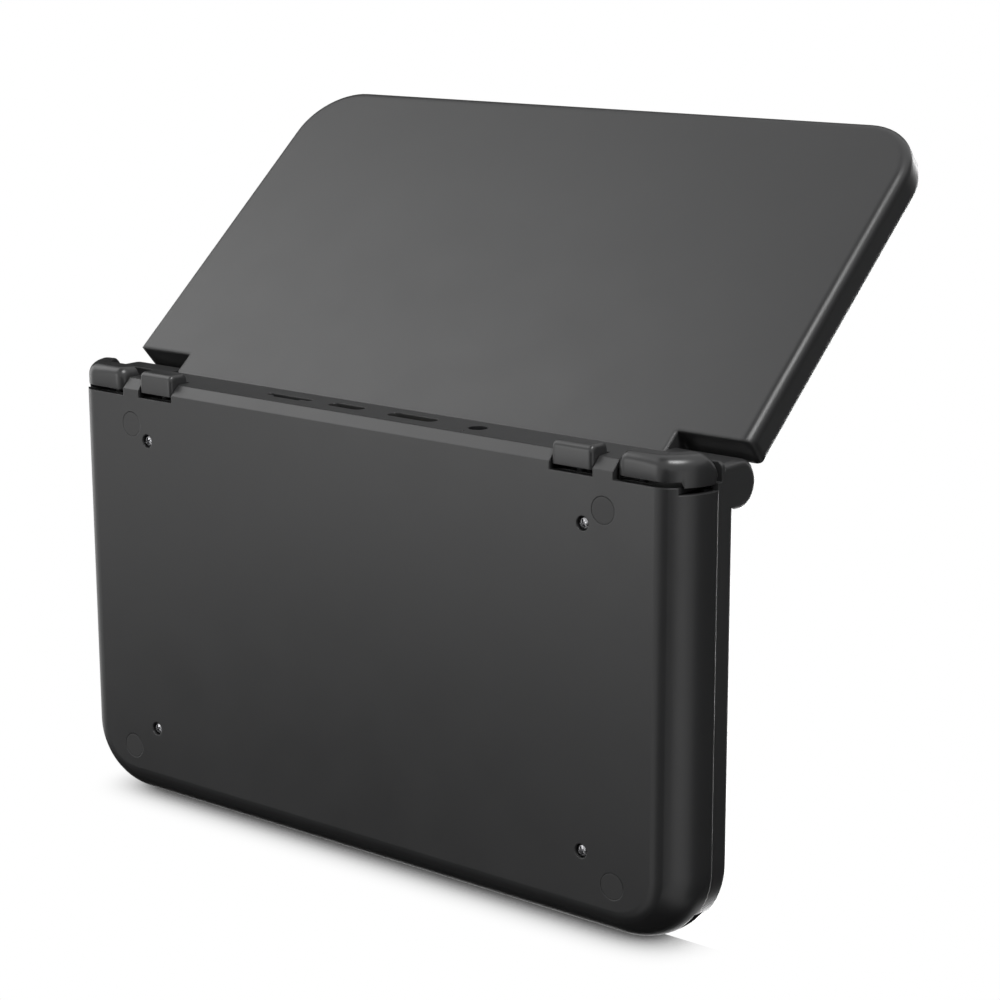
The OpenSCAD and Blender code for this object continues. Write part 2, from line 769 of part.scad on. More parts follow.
module stick_cap(s) translate([s * stick_x, stick_y, 0]) color("#1e1f21")
{
    rotate_extrude() difference()
    {
        union()
        {
            translate([0, cap_z]) square([cap_r - cap_edge, cap_t]);
            for (z = [cap_z + cap_edge, cap_z + cap_t - cap_edge])
                translate([cap_r - cap_edge, z]) circle(cap_edge);
            translate([0, cap_z + cap_edge]) square([cap_r, cap_t - 2 * cap_edge]);
            translate([0, pivot_z - 1.1]) square([cap_stem_r, cap_z - pivot_z + 1.2]);
            translate([0, cap_z - 1]) square([gimbal_in - 0.3, 1.1]);
        }
        translate([0, dish_z]) circle(dish_r, $fn = 128);
        translate([-20, 0]) square([20, 40]);
    }
    bar(0, pivot_z, pivot_r, 0.2 - gimbal_r, gimbal_r - 0.2);
}

// ---- cross pad, buttons and keys ----

// Ball on the control board, on which the cross pad rocks both ways
module cross_pad_pivot() color("#c9c9c4") translate([-pad_x, pad_y, pad_ball_z]) sphere(pad_ball_r);

module cross_pad() color("#1e1f21") translate([-pad_x, pad_y, 0]) difference()
{
    union()
    {
        translate([0, 0, pad_plate_z]) linear_extrude(pad_plate_t)
            pad_cross(pad_span + 2 * flange_edge, pad_arm + 2 * flange_edge + 0.4);
        translate([0, 0, pad_plate_z]) linear_extrude(pad_top - pad_plate_z) pad_cross(pad_span, pad_arm);
    }
    translate([0, 0, pad_top + 9.6]) sphere(r = 10, $fn = 96);
    translate([0, 0, pad_ball_z]) sphere(pad_ball_r + run_fit);
}

module face_button(a) color("#1e1f21")
    translate([pad_x + button_step * cos(a), pad_y + button_step * sin(a), 0])
{
    translate([0, 0, flange_z]) cylinder(r = button_r + flange_edge, h = flange_t);
    rotate_extrude() intersection()
    {
        union()
        {
            translate([0, flange_z]) square([button_r, button_top - button_edge - flange_z]);
            translate([0, flange_z]) square([button_r - button_edge, button_top - flange_z]);
            translate([button_r - button_edge, button_top - button_edge]) circle(button_edge);
        }
        square([button_r + 1, base_t + 1]);
    }
}

module small_key(i) color("#1e1f21") translate([SMALL_KEYS[i][1] * small_key_x, SMALL_KEYS[i][2], 0])
{
    foot = ctrl_top + switch_h + small_travel + 0.2;
    translate([0, 0, flange_z]) linear_extrude(pad_top - flange_z) pill(small_key_l, small_key_w);
    translate([0, 0, flange_z]) linear_extrude(flange_t)
        pill(small_key_l + 2 * flange_edge, small_key_w + 2 * flange_edge);
    translate([0, 0, foot]) cylinder(r = 0.8, h = flange_z - foot + eps);
}

// Side view of a shoulder key from z0 to z1, its rear edges rounded by r below and q above
module key_side(z0, z1, r, q)
    difference()
    {
        translate([key_back, z0]) square([key_rear - key_back, z1 - z0]);
        outside([key_rear - r, z0 + r], r, [0, -1], [1, 0]);
        outside([key_rear - q, z1 - q], q, [1, 0], [0, 1]);
    }

module plunger(x) bar(x, plunger_z, plunger_r, plunger_y, key_back + eps);

module inner_shoulder_key(s) mirror([s < 0 ? 1 : 0, 0, 0]) color("#2b2c2e")
{
    along_x(inner_key_in, inner_key_in + inner_key_w)
        key_side(key_gap, key_gap + inner_key_h, inner_key_r, inner_key_r);
    plunger(inner_key_x);
}

// Runs along the base's underside, round its oval lower edge and up its side
module corner_shoulder_key(s) mirror([s < 0 ? 1 : 0, 0, 0]) color("#2b2c2e")
{
    skin_x = w2 - corner_inset;
    difference()
    {
        intersection()
        {
            translate([0, key_rear, 0]) rotate([90, 0, 0]) linear_extrude(key_rear - key_back)
                hull_edge(skin_x, corner_inset, corner_key_h, 0);
            along_x(corner_key_x, w2) key_side(corner_inset, corner_key_h, corner_key_r, corner_key_end);
            linear_extrude(base_t) difference()
            {
                translate([corner_key_x, key_back]) square([skin_x - corner_key_x, key_rear - key_back]);
                outside([skin_x - key_plan_r, key_rear - key_plan_r], key_plan_r, [1, 0], [0, 1]);
            }
        }
        box(corner_key_x - 1, skin_x - corner_key_t, key_back - 1, key_rear + 1,
            corner_inset + corner_key_t, base_t);
    }
    plunger(plunger_x);
}

// ---- hinge ----

module hinge_sleeve(s) mirror([s < 0 ? 1 : 0, 0, 0]) color("#8f9296") difference()
{
    rod(w2 - knuckle_len, w2 - knuckle_len + sleeve_len, hinge_y, hinge_z, sleeve_r);
    rod(w2 - knuckle_len - 1, w2 - knuckle_len + sleeve_len + 1, hinge_y, hinge_z, pin_r + run_fit);
}

module hinge_pin(s) mirror([s < 0 ? 1 : 0, 0, 0]) color("#a7a9ad") in_lid()
    rod(barrel_end - pin_in, barrel_end + end_gap + sleeve_len - 0.5, 0, 0, pin_r);

// ---- lid ----

module lid_screw_places() both() for (y = lid_screw_y) translate([w2 - lid_screw_inset, y, 0]) children();

module lid_cover() color("#3a3b3d") in_lid() difference()
{
    union()
    {
        difference()
        {
            block(w2, lid_front, notch_y, lid_in, lid_out, 0.5, lid_round, lid_corner_r);
            both() corner_cut(w2, notch_y, notch_r, 9);
            both() translate([0, 0, -8]) corner_cut(w2, notch_y, notch_r, 9);
        }
        along_x(-barrel_end, barrel_end)
        {
            translate([notch_y - 1, lid_in]) square([-notch_y + 1, lid_t]);
            circle(barrel_r);
        }
    }
    // hollow for the screen and the boards
    difference()
    {
        block(w2 - lid_rim, lid_front + lid_rim, notch_y - lid_rim, lid_in - 1, lid_out - lid_skin, 0.3, 0,
              lid_corner_r - lid_rim);
        lid_screw_places() translate([0, 0, bezel_z]) cylinder(r = lid_boss_r, h = 9);
    }
    lid_screw_places() translate([0, 0, lid_in - 1]) cylinder(r = lid_pilot_r, h = 1 + lid_t - lid_skin);
    both() rod(barrel_end - pin_in, barrel_end + 1, 0, 0, pin_r);
    // chamber and slot of the display cable
    rod(-cable_w / 2 - 2, cable_w / 2 + 2, 0, 0, cable_r + cable_gap);
    box(-cable_w / 2 - cable_gap, cable_w / 2 + cable_gap, notch_y - lid_rim - 1, 0,
        cable_z - cable_gap, cable_z + cable_gap);
}

module lid_bezel() color("#1a1b1c") in_lid() difference()
{
    i = lid_rim + bezel_fit;
    block(w2 - i, lid_front + i, notch_y - i, lid_in, bezel_z, 0.3, 0, lid_corner_r - i);
    // glass pocket and window
    translate([0, glass_y, lid_in - 1])
    {
        linear_extrude(1 + glass_t) square([glass_w, glass_h], center = true);
        linear_extrude(bezel_t + 2) square([picture_w, picture_h], center = true);
    }
    lid_screw_places() translate([0, 0, lid_in - 1])
    {
        cylinder(r = head_r + head_fit, h = 1.8);
        cylinder(r = lid_pilot_r + head_fit, h = 5);
    }
    both() for (k = [-3:3]) translate([w2 - speaker_inset, speaker_y + grille_step * k, lid_in - 1])
        linear_extrude(4) pill(grille_l, grille_w);
}

module screen_glass() color("#0a0b0d") in_lid()
    translate([0, glass_y, lid_in]) linear_extrude(glass_t) square([glass_w, glass_h], center = true);

module display_panel() color("#4a4d52") in_lid()
    translate([0, glass_y, bezel_z]) linear_extrude(panel_t) square([panel_w, panel_h], center = true);

module display_cable() color("#b5793a") in_lid()
{
    difference()
    {
        rod(-cable_w / 2, cable_w / 2, 0, 0, cable_r);
        rod(-cable_w, cable_w, 0, 0, cable_r - cable_t);
    }
    box(-cable_w / 2, cable_w / 2, notch_y - lid_rim - 1.2, -1.3,
        cable_z - cable_t / 2, cable_z + cable_t / 2);
}

module speaker(s) color("#202123") in_lid()
    translate([s * (w2 - speaker_inset), speaker_y, bezel_z]) linear_extrude(speaker_t)
        square([speaker_w, speaker_l], center = true);

module lid_bumpers() color("#232323") in_lid() both()
    for (c = [[bumper_in, -20], [lid_corner_r + 4, lid_front + bumper_in]])
        translate([w2 - c[0], c[1], lid_in - bumper_h]) cylinder(r = bumper_r, h = bumper_h);

module lid_screws() color("#55585c") in_lid() lid_screw_places()
{
    translate([0, 0, lid_in + 0.2]) cylinder(r = head_r, h = 0.6);
    translate([0, 0, lid_in + 0.7]) cylinder(r = lid_pilot_r, h = lid_t - lid_skin - 1.6);
}

// ---- the part ----

bottom_cover();
top_shell();
main_board();
processor_shield();
battery();
control_board(-1);  // left_control_board
control_board(1);  // right_control_board
left_membrane();
right_membrane();
key_switches();
shoulder_switches();
memory_card_socket();
charging_socket();
video_socket();
audio_socket();
lanyard_pin();
rubber_feet();
housing_screws();
stick_module(-1);  // left_stick_module
stick_gimbal(-1);  // left_stick_gimbal
stick_cap(-1);  // left_stick_cap
stick_module(1);  // right_stick_module
stick_gimbal(1);  // right_stick_gimbal
stick_cap(1);  // right_stick_cap
cross_pad_pivot();
cross_pad();
face_button(90);  // face_button_top
face_button(0);  // face_button_right
face_button(270);  // face_button_bottom
face_button(180);  // face_button_left
small_key(0);  // volume_up_key
small_key(1);  // volume_down_key
small_key(2);  // select_key
small_key(3);  // back_key
small_key(4);  // power_key
small_key(5);  // start_key
small_key(6);  // home_key
corner_shoulder_key(-1);  // left_corner_shoulder_key
corner_shoulder_key(1);  // right_corner_shoulder_key
inner_shoulder_key(-1);  // left_inner_shoulder_key
inner_shoulder_key(1);  // right_inner_shoulder_key
hinge_sleeve(-1);  // left_hinge_sleeve
hinge_sleeve(1);  // right_hinge_sleeve
hinge_pin(-1);  // left_hinge_pin
hinge_pin(1);  // right_hinge_pin
lid_cover();
lid_bezel();
screen_glass();
display_panel();
display_cable();
speaker(-1);  // left_speaker
speaker(1);  // right_speaker
lid_bumpers();
lid_screws();
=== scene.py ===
import bmesh
import bpy
import numpy as np
from mathutils import Matrix, Vector


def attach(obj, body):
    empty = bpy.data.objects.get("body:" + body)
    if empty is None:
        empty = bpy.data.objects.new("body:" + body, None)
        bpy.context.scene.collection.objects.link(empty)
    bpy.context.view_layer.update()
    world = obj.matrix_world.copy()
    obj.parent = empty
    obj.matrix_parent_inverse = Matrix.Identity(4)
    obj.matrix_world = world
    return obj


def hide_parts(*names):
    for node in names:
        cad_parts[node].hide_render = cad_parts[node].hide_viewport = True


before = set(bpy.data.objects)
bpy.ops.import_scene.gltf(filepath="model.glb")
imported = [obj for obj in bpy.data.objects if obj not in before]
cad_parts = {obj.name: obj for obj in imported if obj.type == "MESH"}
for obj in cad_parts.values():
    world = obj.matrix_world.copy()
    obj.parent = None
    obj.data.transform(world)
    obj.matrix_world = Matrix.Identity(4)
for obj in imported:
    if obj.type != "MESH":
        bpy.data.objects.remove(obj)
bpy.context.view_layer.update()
mm = 0.001  # new pieces are worked out in millimetres
print("frame loaded")

# camera, from a fit of the photograph's edges; places in metres, lens and sensor in millimetres
cameraFit = {
    "lens": 91.5617,
    "sensor": 36.0,
    "place": (-0.31815, 0.139172, -0.34353),
    "right": (-0.77391, -0.00230, 0.63329),
    "down": (-0.14410, -0.97312, -0.17964),
    "near": 0.01,
    "far": 50.0,
}


def makeCamera(fit):
    # columns of the turn: right and up in the picture, and back towards the viewer
    right = Vector(fit["right"]).normalized()
    down = Vector(fit["down"])
    down = (down - right * down.dot(right)).normalized()
    back = right.cross(-down)
    data = bpy.data.cameras.new("camera")
    data.lens = fit["lens"]
    data.sensor_width = fit["sensor"]
    data.clip_start = fit["near"]
    data.clip_end = fit["far"]
    cam = bpy.data.objects.new("camera", data)
    bpy.context.scene.collection.objects.link(cam)
    turn = Matrix((right, -down, back)).transposed().to_4x4()
    cam.matrix_world = Matrix.Translation(Vector(fit["place"])) @ turn
    bpy.context.scene.camera = cam


makeCamera(cameraFit)
print("camera set")

# studio: a pale table under the console, and an unseen ledge at its front that carries a painted contact
# shadow
studio = {
    "tableHalf": 3.0,
    "tableColour": (0.80, 0.80, 0.80, 1.0),
    "tableDrop": 0.0004,  # keeps the table clear of the feet
    "ledgeHalf": 0.12,
    "ledgeY": -0.0450,
    "ledgeSpan": (-0.05, 0.011),  # lowest and highest z
    # the painted contact shadow on the ledge, black emission set by ambient occlusion: its reach, curve,
    # darkness and samples
    "ledgeReach": 0.0085,  # how far off the console the painted shadow still reaches
    "ledgeCurve": 2.5,
    "ledgeDark": 1.1,
    "ledgeSamples": 16,
    "worldLight": 0.30,
    "flagColour": (0.004, 0.004, 0.004, 1.0),
    "view": "Standard",
}


def newMaterial(name):
    # an empty node tree with its output
    material = bpy.data.materials.new(name)
    material.use_nodes = True
    tree = material.node_tree
    tree.nodes.clear()
    out = tree.nodes.new("ShaderNodeOutputMaterial")
    return material, tree, out


def addNode(tree, kind, values=None, **settings):
    # settings are the node's own, values those of its sockets
    node = tree.nodes.new(kind)
    for key, value in settings.items():
        setattr(node, key, value)
    for key, value in (values or {}).items():
        node.inputs[key].default_value = value
    return node


def mathNode(tree, operation, *values, clamp=False):
    # each value is a number, or the socket that feeds it; gives the socket of the result
    node = addNode(tree, "ShaderNodeMath", operation=operation, use_clamp=clamp)
    for i, value in enumerate(values):
        if isinstance(value, float):
            node.inputs[i].default_value = value
        else:
            tree.links.new(value, node.inputs[i])
    return node.outputs[0]


def mixShaders(tree, out, share, first, second):
    # the first shader where share is 0, the second where it is 1
    mix = addNode(tree, "ShaderNodeMixShader")
    tree.links.new(share, mix.inputs["Fac"])
    tree.links.new(first.outputs[0], mix.inputs[1])
    tree.links.new(second.outputs[0], mix.inputs[2])
    tree.links.new(mix.outputs["Shader"], out.inputs["Surface"])


def flatPlane(name, corners, unseenBy):
    # a plane of the studio, passed through by the rays that are named
    mesh = bpy.data.meshes.new(name)
    mesh.from_pydata(corners, [], [(0, 1, 2, 3)])
    mesh.update()
    plane = bpy.data.objects.new(name, mesh)
    bpy.context.scene.collection.objects.link(plane)
    for rays in unseenBy:
        setattr(plane, "visible_" + rays, False)
    return plane


def oneSided(name, colour):
    # a matt colour on the front, and the back is clear
    material, tree, out = newMaterial(name)
    paint = addNode(tree, "ShaderNodeBsdfDiffuse", {"Color": colour})
    clear = addNode(tree, "ShaderNodeBsdfTransparent")
    side = addNode(tree, "ShaderNodeNewGeometry")
    mixShaders(tree, out, side.outputs["Backfacing"], paint, clear)
    return material


# the rays that pass by what only the camera should see
cameraOnly = ("diffuse", "glossy", "transmission", "shadow")


def makeTable(s):
    # seen from above only, so that the picture from below looks through it
    h, z = s["tableHalf"], -s["tableDrop"]
    plane = flatPlane("tableTop", [(-h, -h, z), (h, -h, z), (h, h, z), (-h, h, z)], cameraOnly)
    plane.data.materials.append(oneSided("paleTable", s["tableColour"]))


def makePaintedShadowLedge(s):
    # painted contact shadow: black emission by the dark share times (1 - openness) to the power of the
    # curve, so only close to the console; clear from behind
    h, y = s["ledgeHalf"], s["ledgeY"]
    low, high = s["ledgeSpan"]
    plane = flatPlane("ledge", [(-h, y, high), (h, y, high), (h, y, low), (-h, y, low)], cameraOnly)
    material, tree, out = newMaterial("ledgePaintedShadow")
    # the black of the painted shadow, and the clear plane it is mixed over
    paintedBlack = addNode(tree, "ShaderNodeEmission", {"Color": (0, 0, 0, 1), "Strength": 0.0})
    clear = addNode(tree, "ShaderNodeBsdfTransparent")
    side = addNode(tree, "ShaderNodeNewGeometry")
    openness = addNode(tree, "ShaderNodeAmbientOcclusion", {"Distance": s["ledgeReach"]},
                       samples=s["ledgeSamples"])
    shut = mathNode(tree, "SUBTRACT", 1.0, openness.outputs["AO"])
    shade = mathNode(tree, "MULTIPLY", mathNode(tree, "POWER", shut, s["ledgeCurve"]), s["ledgeDark"])
    front = mathNode(tree, "SUBTRACT", 1.0, side.outputs["Backfacing"])
    mixShaders(tree, out, mathNode(tree, "MULTIPLY", shade, front, clamp=True), clear, paintedBlack)
    plane.data.materials.append(material)


def makeWorld(s):
    # white to the camera and in reflections, and a plainer light on matt surfaces
    world = bpy.data.worlds.new("studioWorld")
    bpy.context.scene.world = world
    world.use_nodes = True
    tree = world.node_tree
    tree.nodes.clear()
    out = addNode(tree, "ShaderNodeOutputWorld")
    seen = addNode(tree, "ShaderNodeBackground", {"Color": (1, 1, 1, 1), "Strength": 1.0})
    lit = addNode(tree, "ShaderNodeBackground", {"Color": (1, 1, 1, 1), "Strength": s["worldLight"]})
    path = addNode(tree, "ShaderNodeLightPath")
    some = mathNode(tree, "MAXIMUM", path.outputs["Is Camera Ray"], path.outputs["Is Glossy Ray"])
    most = mathNode(tree, "MAXIMUM", some, path.outputs["Is Transmission Ray"])
    mixShaders(tree, out, most, lit, seen)


makeTable(studio)
makePaintedShadowLedge(studio)
makeWorld(studio)
bpy.context.scene.view_settings.view_transform = studio["view"]

# black flags, seen only by glossy and diffuse rays: middle, the direction they face, width and height
blackFlags = {
    "rightFlag": {"middle": (-0.74, -0.18, 0.60), "faces": (1, 0.2, -0.8), "size": (1.6, 1.5)},
    "frontFlag": {"middle": (0.30, -0.70, -0.10), "faces": (-0.2, 1, 0), "size": (1.9, 1.3)},
    "lowFlag": {"middle": (0.74, -0.58, -0.62), "faces": (-0.74, 0.58, 0.62), "size": (0.6, 0.8)},
    "lensFlag": {"middle": (-0.40, -0.36, -0.88), "faces": (0.40, 0.36, 0.88), "size": (1.0, 0.8)},
    "rearFlag": {"middle": (0.66, 0.22, 0.76), "faces": (-0.66, -0.22, -0.76), "size": (1.2, 1.2)},
    "topFlag": {"middle": (0.08, 1.0, -0.20), "faces": (-0.08, -1.0, 0.20), "size": (0.5, 0.6)},
}


def makeFlag(name, flag, black):
    # corners: middle + turn (x, y, 0), with the turn taking z to the direction it faces
    w, h = flag["size"][0] / 2, flag["size"][1] / 2
    turn = Vector(flag["faces"]).to_track_quat("Z", "Y").to_matrix()
    middle = Vector(flag["middle"])
    corners = [middle + turn @ Vector(c) for c in ((-w, -h, 0), (w, -h, 0), (w, h, 0), (-w, h, 0))]
    plane = flatPlane(name, [tuple(c) for c in corners], ("camera", "transmission", "shadow"))
    plane.data.materials.append(black)


flagBlack = oneSided("blackFlag", studio["flagColour"])
for flagName, flagValues in blackFlags.items():
    makeFlag(flagName, flagValues, flagBlack)

# soft boxes: place, width and height in metres, power in watts; all face the origin
softBoxes = {
    "keyLeft": {"place": (0.70, 0.70, -0.24), "size": (0.6, 0.6), "power": 2.3},
    "rimRight": {"place": (-0.46, 0.88, -0.15), "size": (0.30, 0.30), "power": 6.5},
    "lowRight": {"place": (-0.90, -0.23, -0.38), "size": (0.3, 0.3), "power": 0.2},
    "leftSide": {"place": (1.0, 0.10, 0.0), "size": (0.6, 0.6), "power": 1.0},
    "front": {"place": (0.56, 0.05, -0.85), "size": (0.6, 0.4), "power": 2.0},
    "above": {"place": (0.55, -0.55, 1.90), "size": (1.4, 1.4), "power": 46.0},
}


def makeSoftBox(name, box):
    # a rectangular area lamp that shines along its own -z
    data = bpy.data.lights.new(name, "AREA")
    data.shape = "RECTANGLE"
    data.size, data.size_y = box["size"]
    data.energy = box["power"]
    lamp = bpy.data.objects.new(name, data)
    bpy.context.scene.collection.objects.link(lamp)
    lamp.location = box["place"]
    lamp.rotation_mode = "QUATERNION"
    lamp.rotation_quaternion = (-Vector(box["place"])).to_track_quat("-Z", "Y")


for boxName, boxValues in softBoxes.items():
    makeSoftBox(boxName, boxValues)
print("studio ready")


def makeGroup(name, inputs, outputs):
    # inputs are (name, socket type, value), outputs (name, socket type)
    tree = bpy.data.node_groups.new(name, "ShaderNodeTree")
    for key, kind, value in inputs:
        socket = tree.interface.new_socket(name=key, in_out="INPUT", socket_type=kind)
        socket.default_value = value
    for key, kind in outputs:
        tree.interface.new_socket(name=key, in_out="OUTPUT", socket_type=kind)
    return tree, tree.nodes.new("NodeGroupInput"), tree.nodes.new("NodeGroupOutput")


grainLook = {"fineShare": 0.35, "slowScale": 38.0, "smearScale": 70.0}


def makeGrainGroup(v):
    # Height is fine noise; Tone is 1 + tone * (fineShare * fine + slow noise - their mean);
    # Roughness is roughness + gloss * (smear noise - 0.5)
    tree, start, end = makeGroup(
        "mouldedGrain",
        [("Scale", "NodeSocketFloat", 6000.0), ("Tone", "NodeSocketFloat", 0.06),
         ("Gloss", "NodeSocketFloat", 0.08), ("Roughness", "NodeSocketFloat", 0.5)],
        [("Height", "NodeSocketFloat"), ("Tone", "NodeSocketFloat"), ("Roughness", "NodeSocketFloat")])
    place = addNode(tree, "ShaderNodeTexCoord")
    fine = addNode(tree, "ShaderNodeTexNoise", {"Detail": 2.0, "Roughness": 0.6})
    slow = addNode(tree, "ShaderNodeTexNoise", {"Scale": v["slowScale"], "Detail": 4.0, "Roughness": 0.55})
    smear = addNode(tree, "ShaderNodeTexNoise", {"Scale": v["smearScale"], "Detail": 5.0, "Roughness": 0.65})
    for noise in (fine, slow, smear):
        tree.links.new(place.outputs["Object"], noise.inputs["Vector"])
    tree.links.new(start.outputs["Scale"], fine.inputs["Scale"])
    mixed = mathNode(tree, "MULTIPLY_ADD", fine.outputs["Fac"], v["fineShare"], slow.outputs["Fac"])
    centred = mathNode(tree, "SUBTRACT", mixed, 0.5 + 0.5 * v["fineShare"])
    tone = mathNode(tree, "MULTIPLY_ADD", centred, start.outputs["Tone"], 1.0)
    offset = mathNode(tree, "SUBTRACT", smear.outputs["Fac"], 0.5)
    rough = mathNode(tree, "MULTIPLY_ADD", offset, start.outputs["Gloss"], start.outputs["Roughness"])
    tree.links.new(fine.outputs["Fac"], end.inputs["Height"])
    tree.links.new(tone, end.inputs["Tone"])
    tree.links.new(rough, end.inputs["Roughness"])
    return tree


grainGroup = makeGrainGroup(grainLook)


def addGrain(tree, skin, colour, values):
    # the shared grain drives the skin's roughness and scales its colour, a plain one or a socket
    grain = addNode(tree, "ShaderNodeGroup", values, node_tree=grainGroup)
    shade = addNode(tree, "ShaderNodeVectorMath", operation="SCALE")
    if isinstance(colour, tuple):
        shade.inputs[0].default_value = colour
    else:
        tree.links.new(colour, shade.inputs[0])
    tree.links.new(grain.outputs["Tone"], shade.inputs["Scale"])
    tree.links.new(shade.outputs["Vector"], skin.inputs["Base Color"])
    tree.links.new(grain.outputs["Roughness"], skin.inputs["Roughness"])
    return grain


def grainedMaterial(name, v):
    # a Principled surface over the shared grain, with its edges softened by a small bevel
    material, tree, out = newMaterial(name)
    skin = addNode(tree, "ShaderNodeBsdfPrincipled", {
        "Metallic": v.get("metallic", 0.0), "Specular IOR Level": v.get("specular", 0.5)})
    grain = addGrain(tree, skin, v["colour"], {
        "Scale": v["grain"], "Tone": v.get("tone", 0.2), "Gloss": v.get("gloss", 0.1),
        "Roughness": v["roughness"]})
    bump = addNode(tree, "ShaderNodeBump", {
        "Strength": v.get("bump", 0.15), "Distance": v.get("depth", 0.00004)})
    tree.links.new(grain.outputs["Height"], bump.inputs["Height"])
    if "edge" in v:
        soft = addNode(tree, "ShaderNodeBevel", {"Radius": v["edge"]}, samples=6)
        tree.links.new(soft.outputs["Normal"], bump.inputs["Normal"])
    tree.links.new(bump.outputs["Normal"], skin.inputs["Normal"])
    tree.links.new(skin.outputs["BSDF"], out.inputs["Surface"])
    return material


# finishes, by what they are on; grain is its scale, tone and gloss how far it moves the colour and the
# roughness, depth its height in metres, and edge the radius of softened edges in metres
finishes = {
    "baseHousing": {"colour": (0.031, 0.0312, 0.0318), "roughness": 0.32, "specular": 0.35,
                    "grain": 5200.0, "tone": 0.18, "gloss": 0.10, "bump": 0.16,
                    "depth": 0.00004, "edge": 0.0003},
    "lidHousing": {"colour": (0.032, 0.0322, 0.0328), "roughness": 0.32, "specular": 0.35,
                   "grain": 5200.0, "tone": 0.16, "gloss": 0.10, "bump": 0.16,
                   "depth": 0.00004, "edge": 0.0013},
    "shoulderKeys": {"colour": (0.031, 0.0312, 0.0318), "roughness": 0.30, "specular": 0.38,
                     "grain": 6500.0, "tone": 0.12, "gloss": 0.10, "bump": 0.12, "depth": 0.00003},
    "bezelPlastic": {"colour": (0.016, 0.016, 0.017), "roughness": 0.42, "specular": 0.4,
                     "grain": 6500.0, "edge": 0.0002},
    "stickRubber": {"colour": (0.021, 0.021, 0.022), "roughness": 0.58, "specular": 0.32,
                    "grain": 5200.0, "tone": 0.15, "bump": 0.3, "depth": 0.00005},
    "controlPlastic": {"colour": (0.020, 0.020, 0.0215), "roughness": 0.30, "specular": 0.45,
                       "grain": 7000.0, "tone": 0.12, "edge": 0.0002},
    "silicone": {"colour": (0.50, 0.50, 0.48), "roughness": 0.62, "specular": 0.4,
                 "grain": 3000.0, "edge": 0.0002},
    "rubber": {"colour": (0.032, 0.032, 0.0325), "roughness": 0.40, "specular": 0.34,
               "grain": 3500.0, "bump": 0.2},
    "innerPlastic": {"colour": (0.040, 0.041, 0.044), "roughness": 0.55, "specular": 0.4,
                     "grain": 4000.0, "edge": 0.0002},
    "palePlastic": {"colour": (0.42, 0.42, 0.41), "roughness": 0.48, "specular": 0.4,
                    "grain": 4000.0, "edge": 0.00015},
    "socketPlastic": {"colour": (0.014, 0.014, 0.015), "roughness": 0.40, "specular": 0.4,
                      "grain": 4500.0, "edge": 0.00012},
    "batteryFoil": {"colour": (0.22, 0.24, 0.27), "roughness": 0.36, "metallic": 0.7, "grain": 900.0,
                    "tone": 0.25, "bump": 0.3, "depth": 0.0001, "edge": 0.0006},
    "cableFilm": {"colour": (0.46, 0.21, 0.06), "roughness": 0.35, "grain": 2500.0, "tone": 0.25},
    "hingeSteel": {"colour": (0.48, 0.48, 0.50), "roughness": 0.30, "metallic": 1.0, "grain": 8000.0,
                   "tone": 0.3, "edge": 0.00012},
    "pressedSteel": {"colour": (0.62, 0.62, 0.63), "roughness": 0.26, "metallic": 1.0, "grain": 7000.0,
                     "tone": 0.25, "edge": 0.00012},
    "screwSteel": {"colour": (0.36, 0.36, 0.37), "roughness": 0.26, "metallic": 1.0,
                   "grain": 9000.0, "tone": 0.3},
    "panelBack": {"colour": (0.30, 0.31, 0.33), "roughness": 0.34, "metallic": 0.8, "grain": 1200.0,
                  "tone": 0.2, "edge": 0.0003},
}
madeMaterials = {name: grainedMaterial(name, values) for name, values in finishes.items()}


boardLook = {"mask": (0.012, 0.075, 0.028), "track": (0.030, 0.130, 0.052), "tin": (0.55, 0.54, 0.50),
             "trackWidth": 0.0011, "trackLong": 0.011, "trackGap": 0.00018, "padSize": 0.0021,
             "padRadius": 0.22, "clumpScale": 140.0, "clumpFrom": 0.60, "roughness": 0.34,
             "bump": 0.3, "depth": 0.00005}


def makeBoardMaterial(v):
    # solder mask over copper tracks, with clumps of tinned pads: round spots of a regular grid, kept
    # where a coarse noise is above clumpFrom
    material, tree, out = newMaterial("circuitBoard")
    skin = addNode(tree, "ShaderNodeBsdfPrincipled", {
        "Roughness": v["roughness"], "Specular IOR Level": 0.5})
    place = addNode(tree, "ShaderNodeTexCoord")
    tracks = addNode(tree, "ShaderNodeTexBrick", {
        "Color1": (1, 1, 1, 1), "Color2": (0.5, 0.5, 0.5, 1), "Mortar": (0, 0, 0, 1), "Scale": 1.0,
        "Mortar Size": v["trackGap"], "Brick Width": v["trackLong"], "Row Height": v["trackWidth"]})
    pads = addNode(tree, "ShaderNodeTexVoronoi", {"Scale": 1.0 / v["padSize"], "Randomness": 0.0})
    clumps = addNode(tree, "ShaderNodeTexNoise", {"Scale": v["clumpScale"], "Detail": 0.0})
    for texture in (tracks, pads, clumps):
        tree.links.new(place.outputs["Object"], texture.inputs["Vector"])
    spot = mathNode(tree, "LESS_THAN", pads.outputs["Distance"], v["padRadius"])
    kept = mathNode(tree, "GREATER_THAN", clumps.outputs["Fac"], v["clumpFrom"])
    tinned = mathNode(tree, "MULTIPLY", spot, kept)
    base = addNode(tree, "ShaderNodeMix", {6: (*v["mask"], 1), 7: (*v["track"], 1)}, data_type="RGBA")
    top = addNode(tree, "ShaderNodeMix", {7: (*v["tin"], 1)}, data_type="RGBA")
    bump = addNode(tree, "ShaderNodeBump", {"Strength": v["bump"], "Distance": v["depth"]})
    tree.links.new(tracks.outputs["Color"], base.inputs[0])
    tree.links.new(tinned, top.inputs[0])
    tree.links.new(base.outputs[2], top.inputs[6])
    tree.links.new(top.outputs[2], skin.inputs["Base Color"])
    tree.links.new(tinned, skin.inputs["Metallic"])
    tree.links.new(tracks.outputs["Color"], bump.inputs["Height"])
    tree.links.new(bump.outputs["Normal"], skin.inputs["Normal"])
    tree.links.new(skin.outputs["BSDF"], out.inputs["Surface"])
    return material


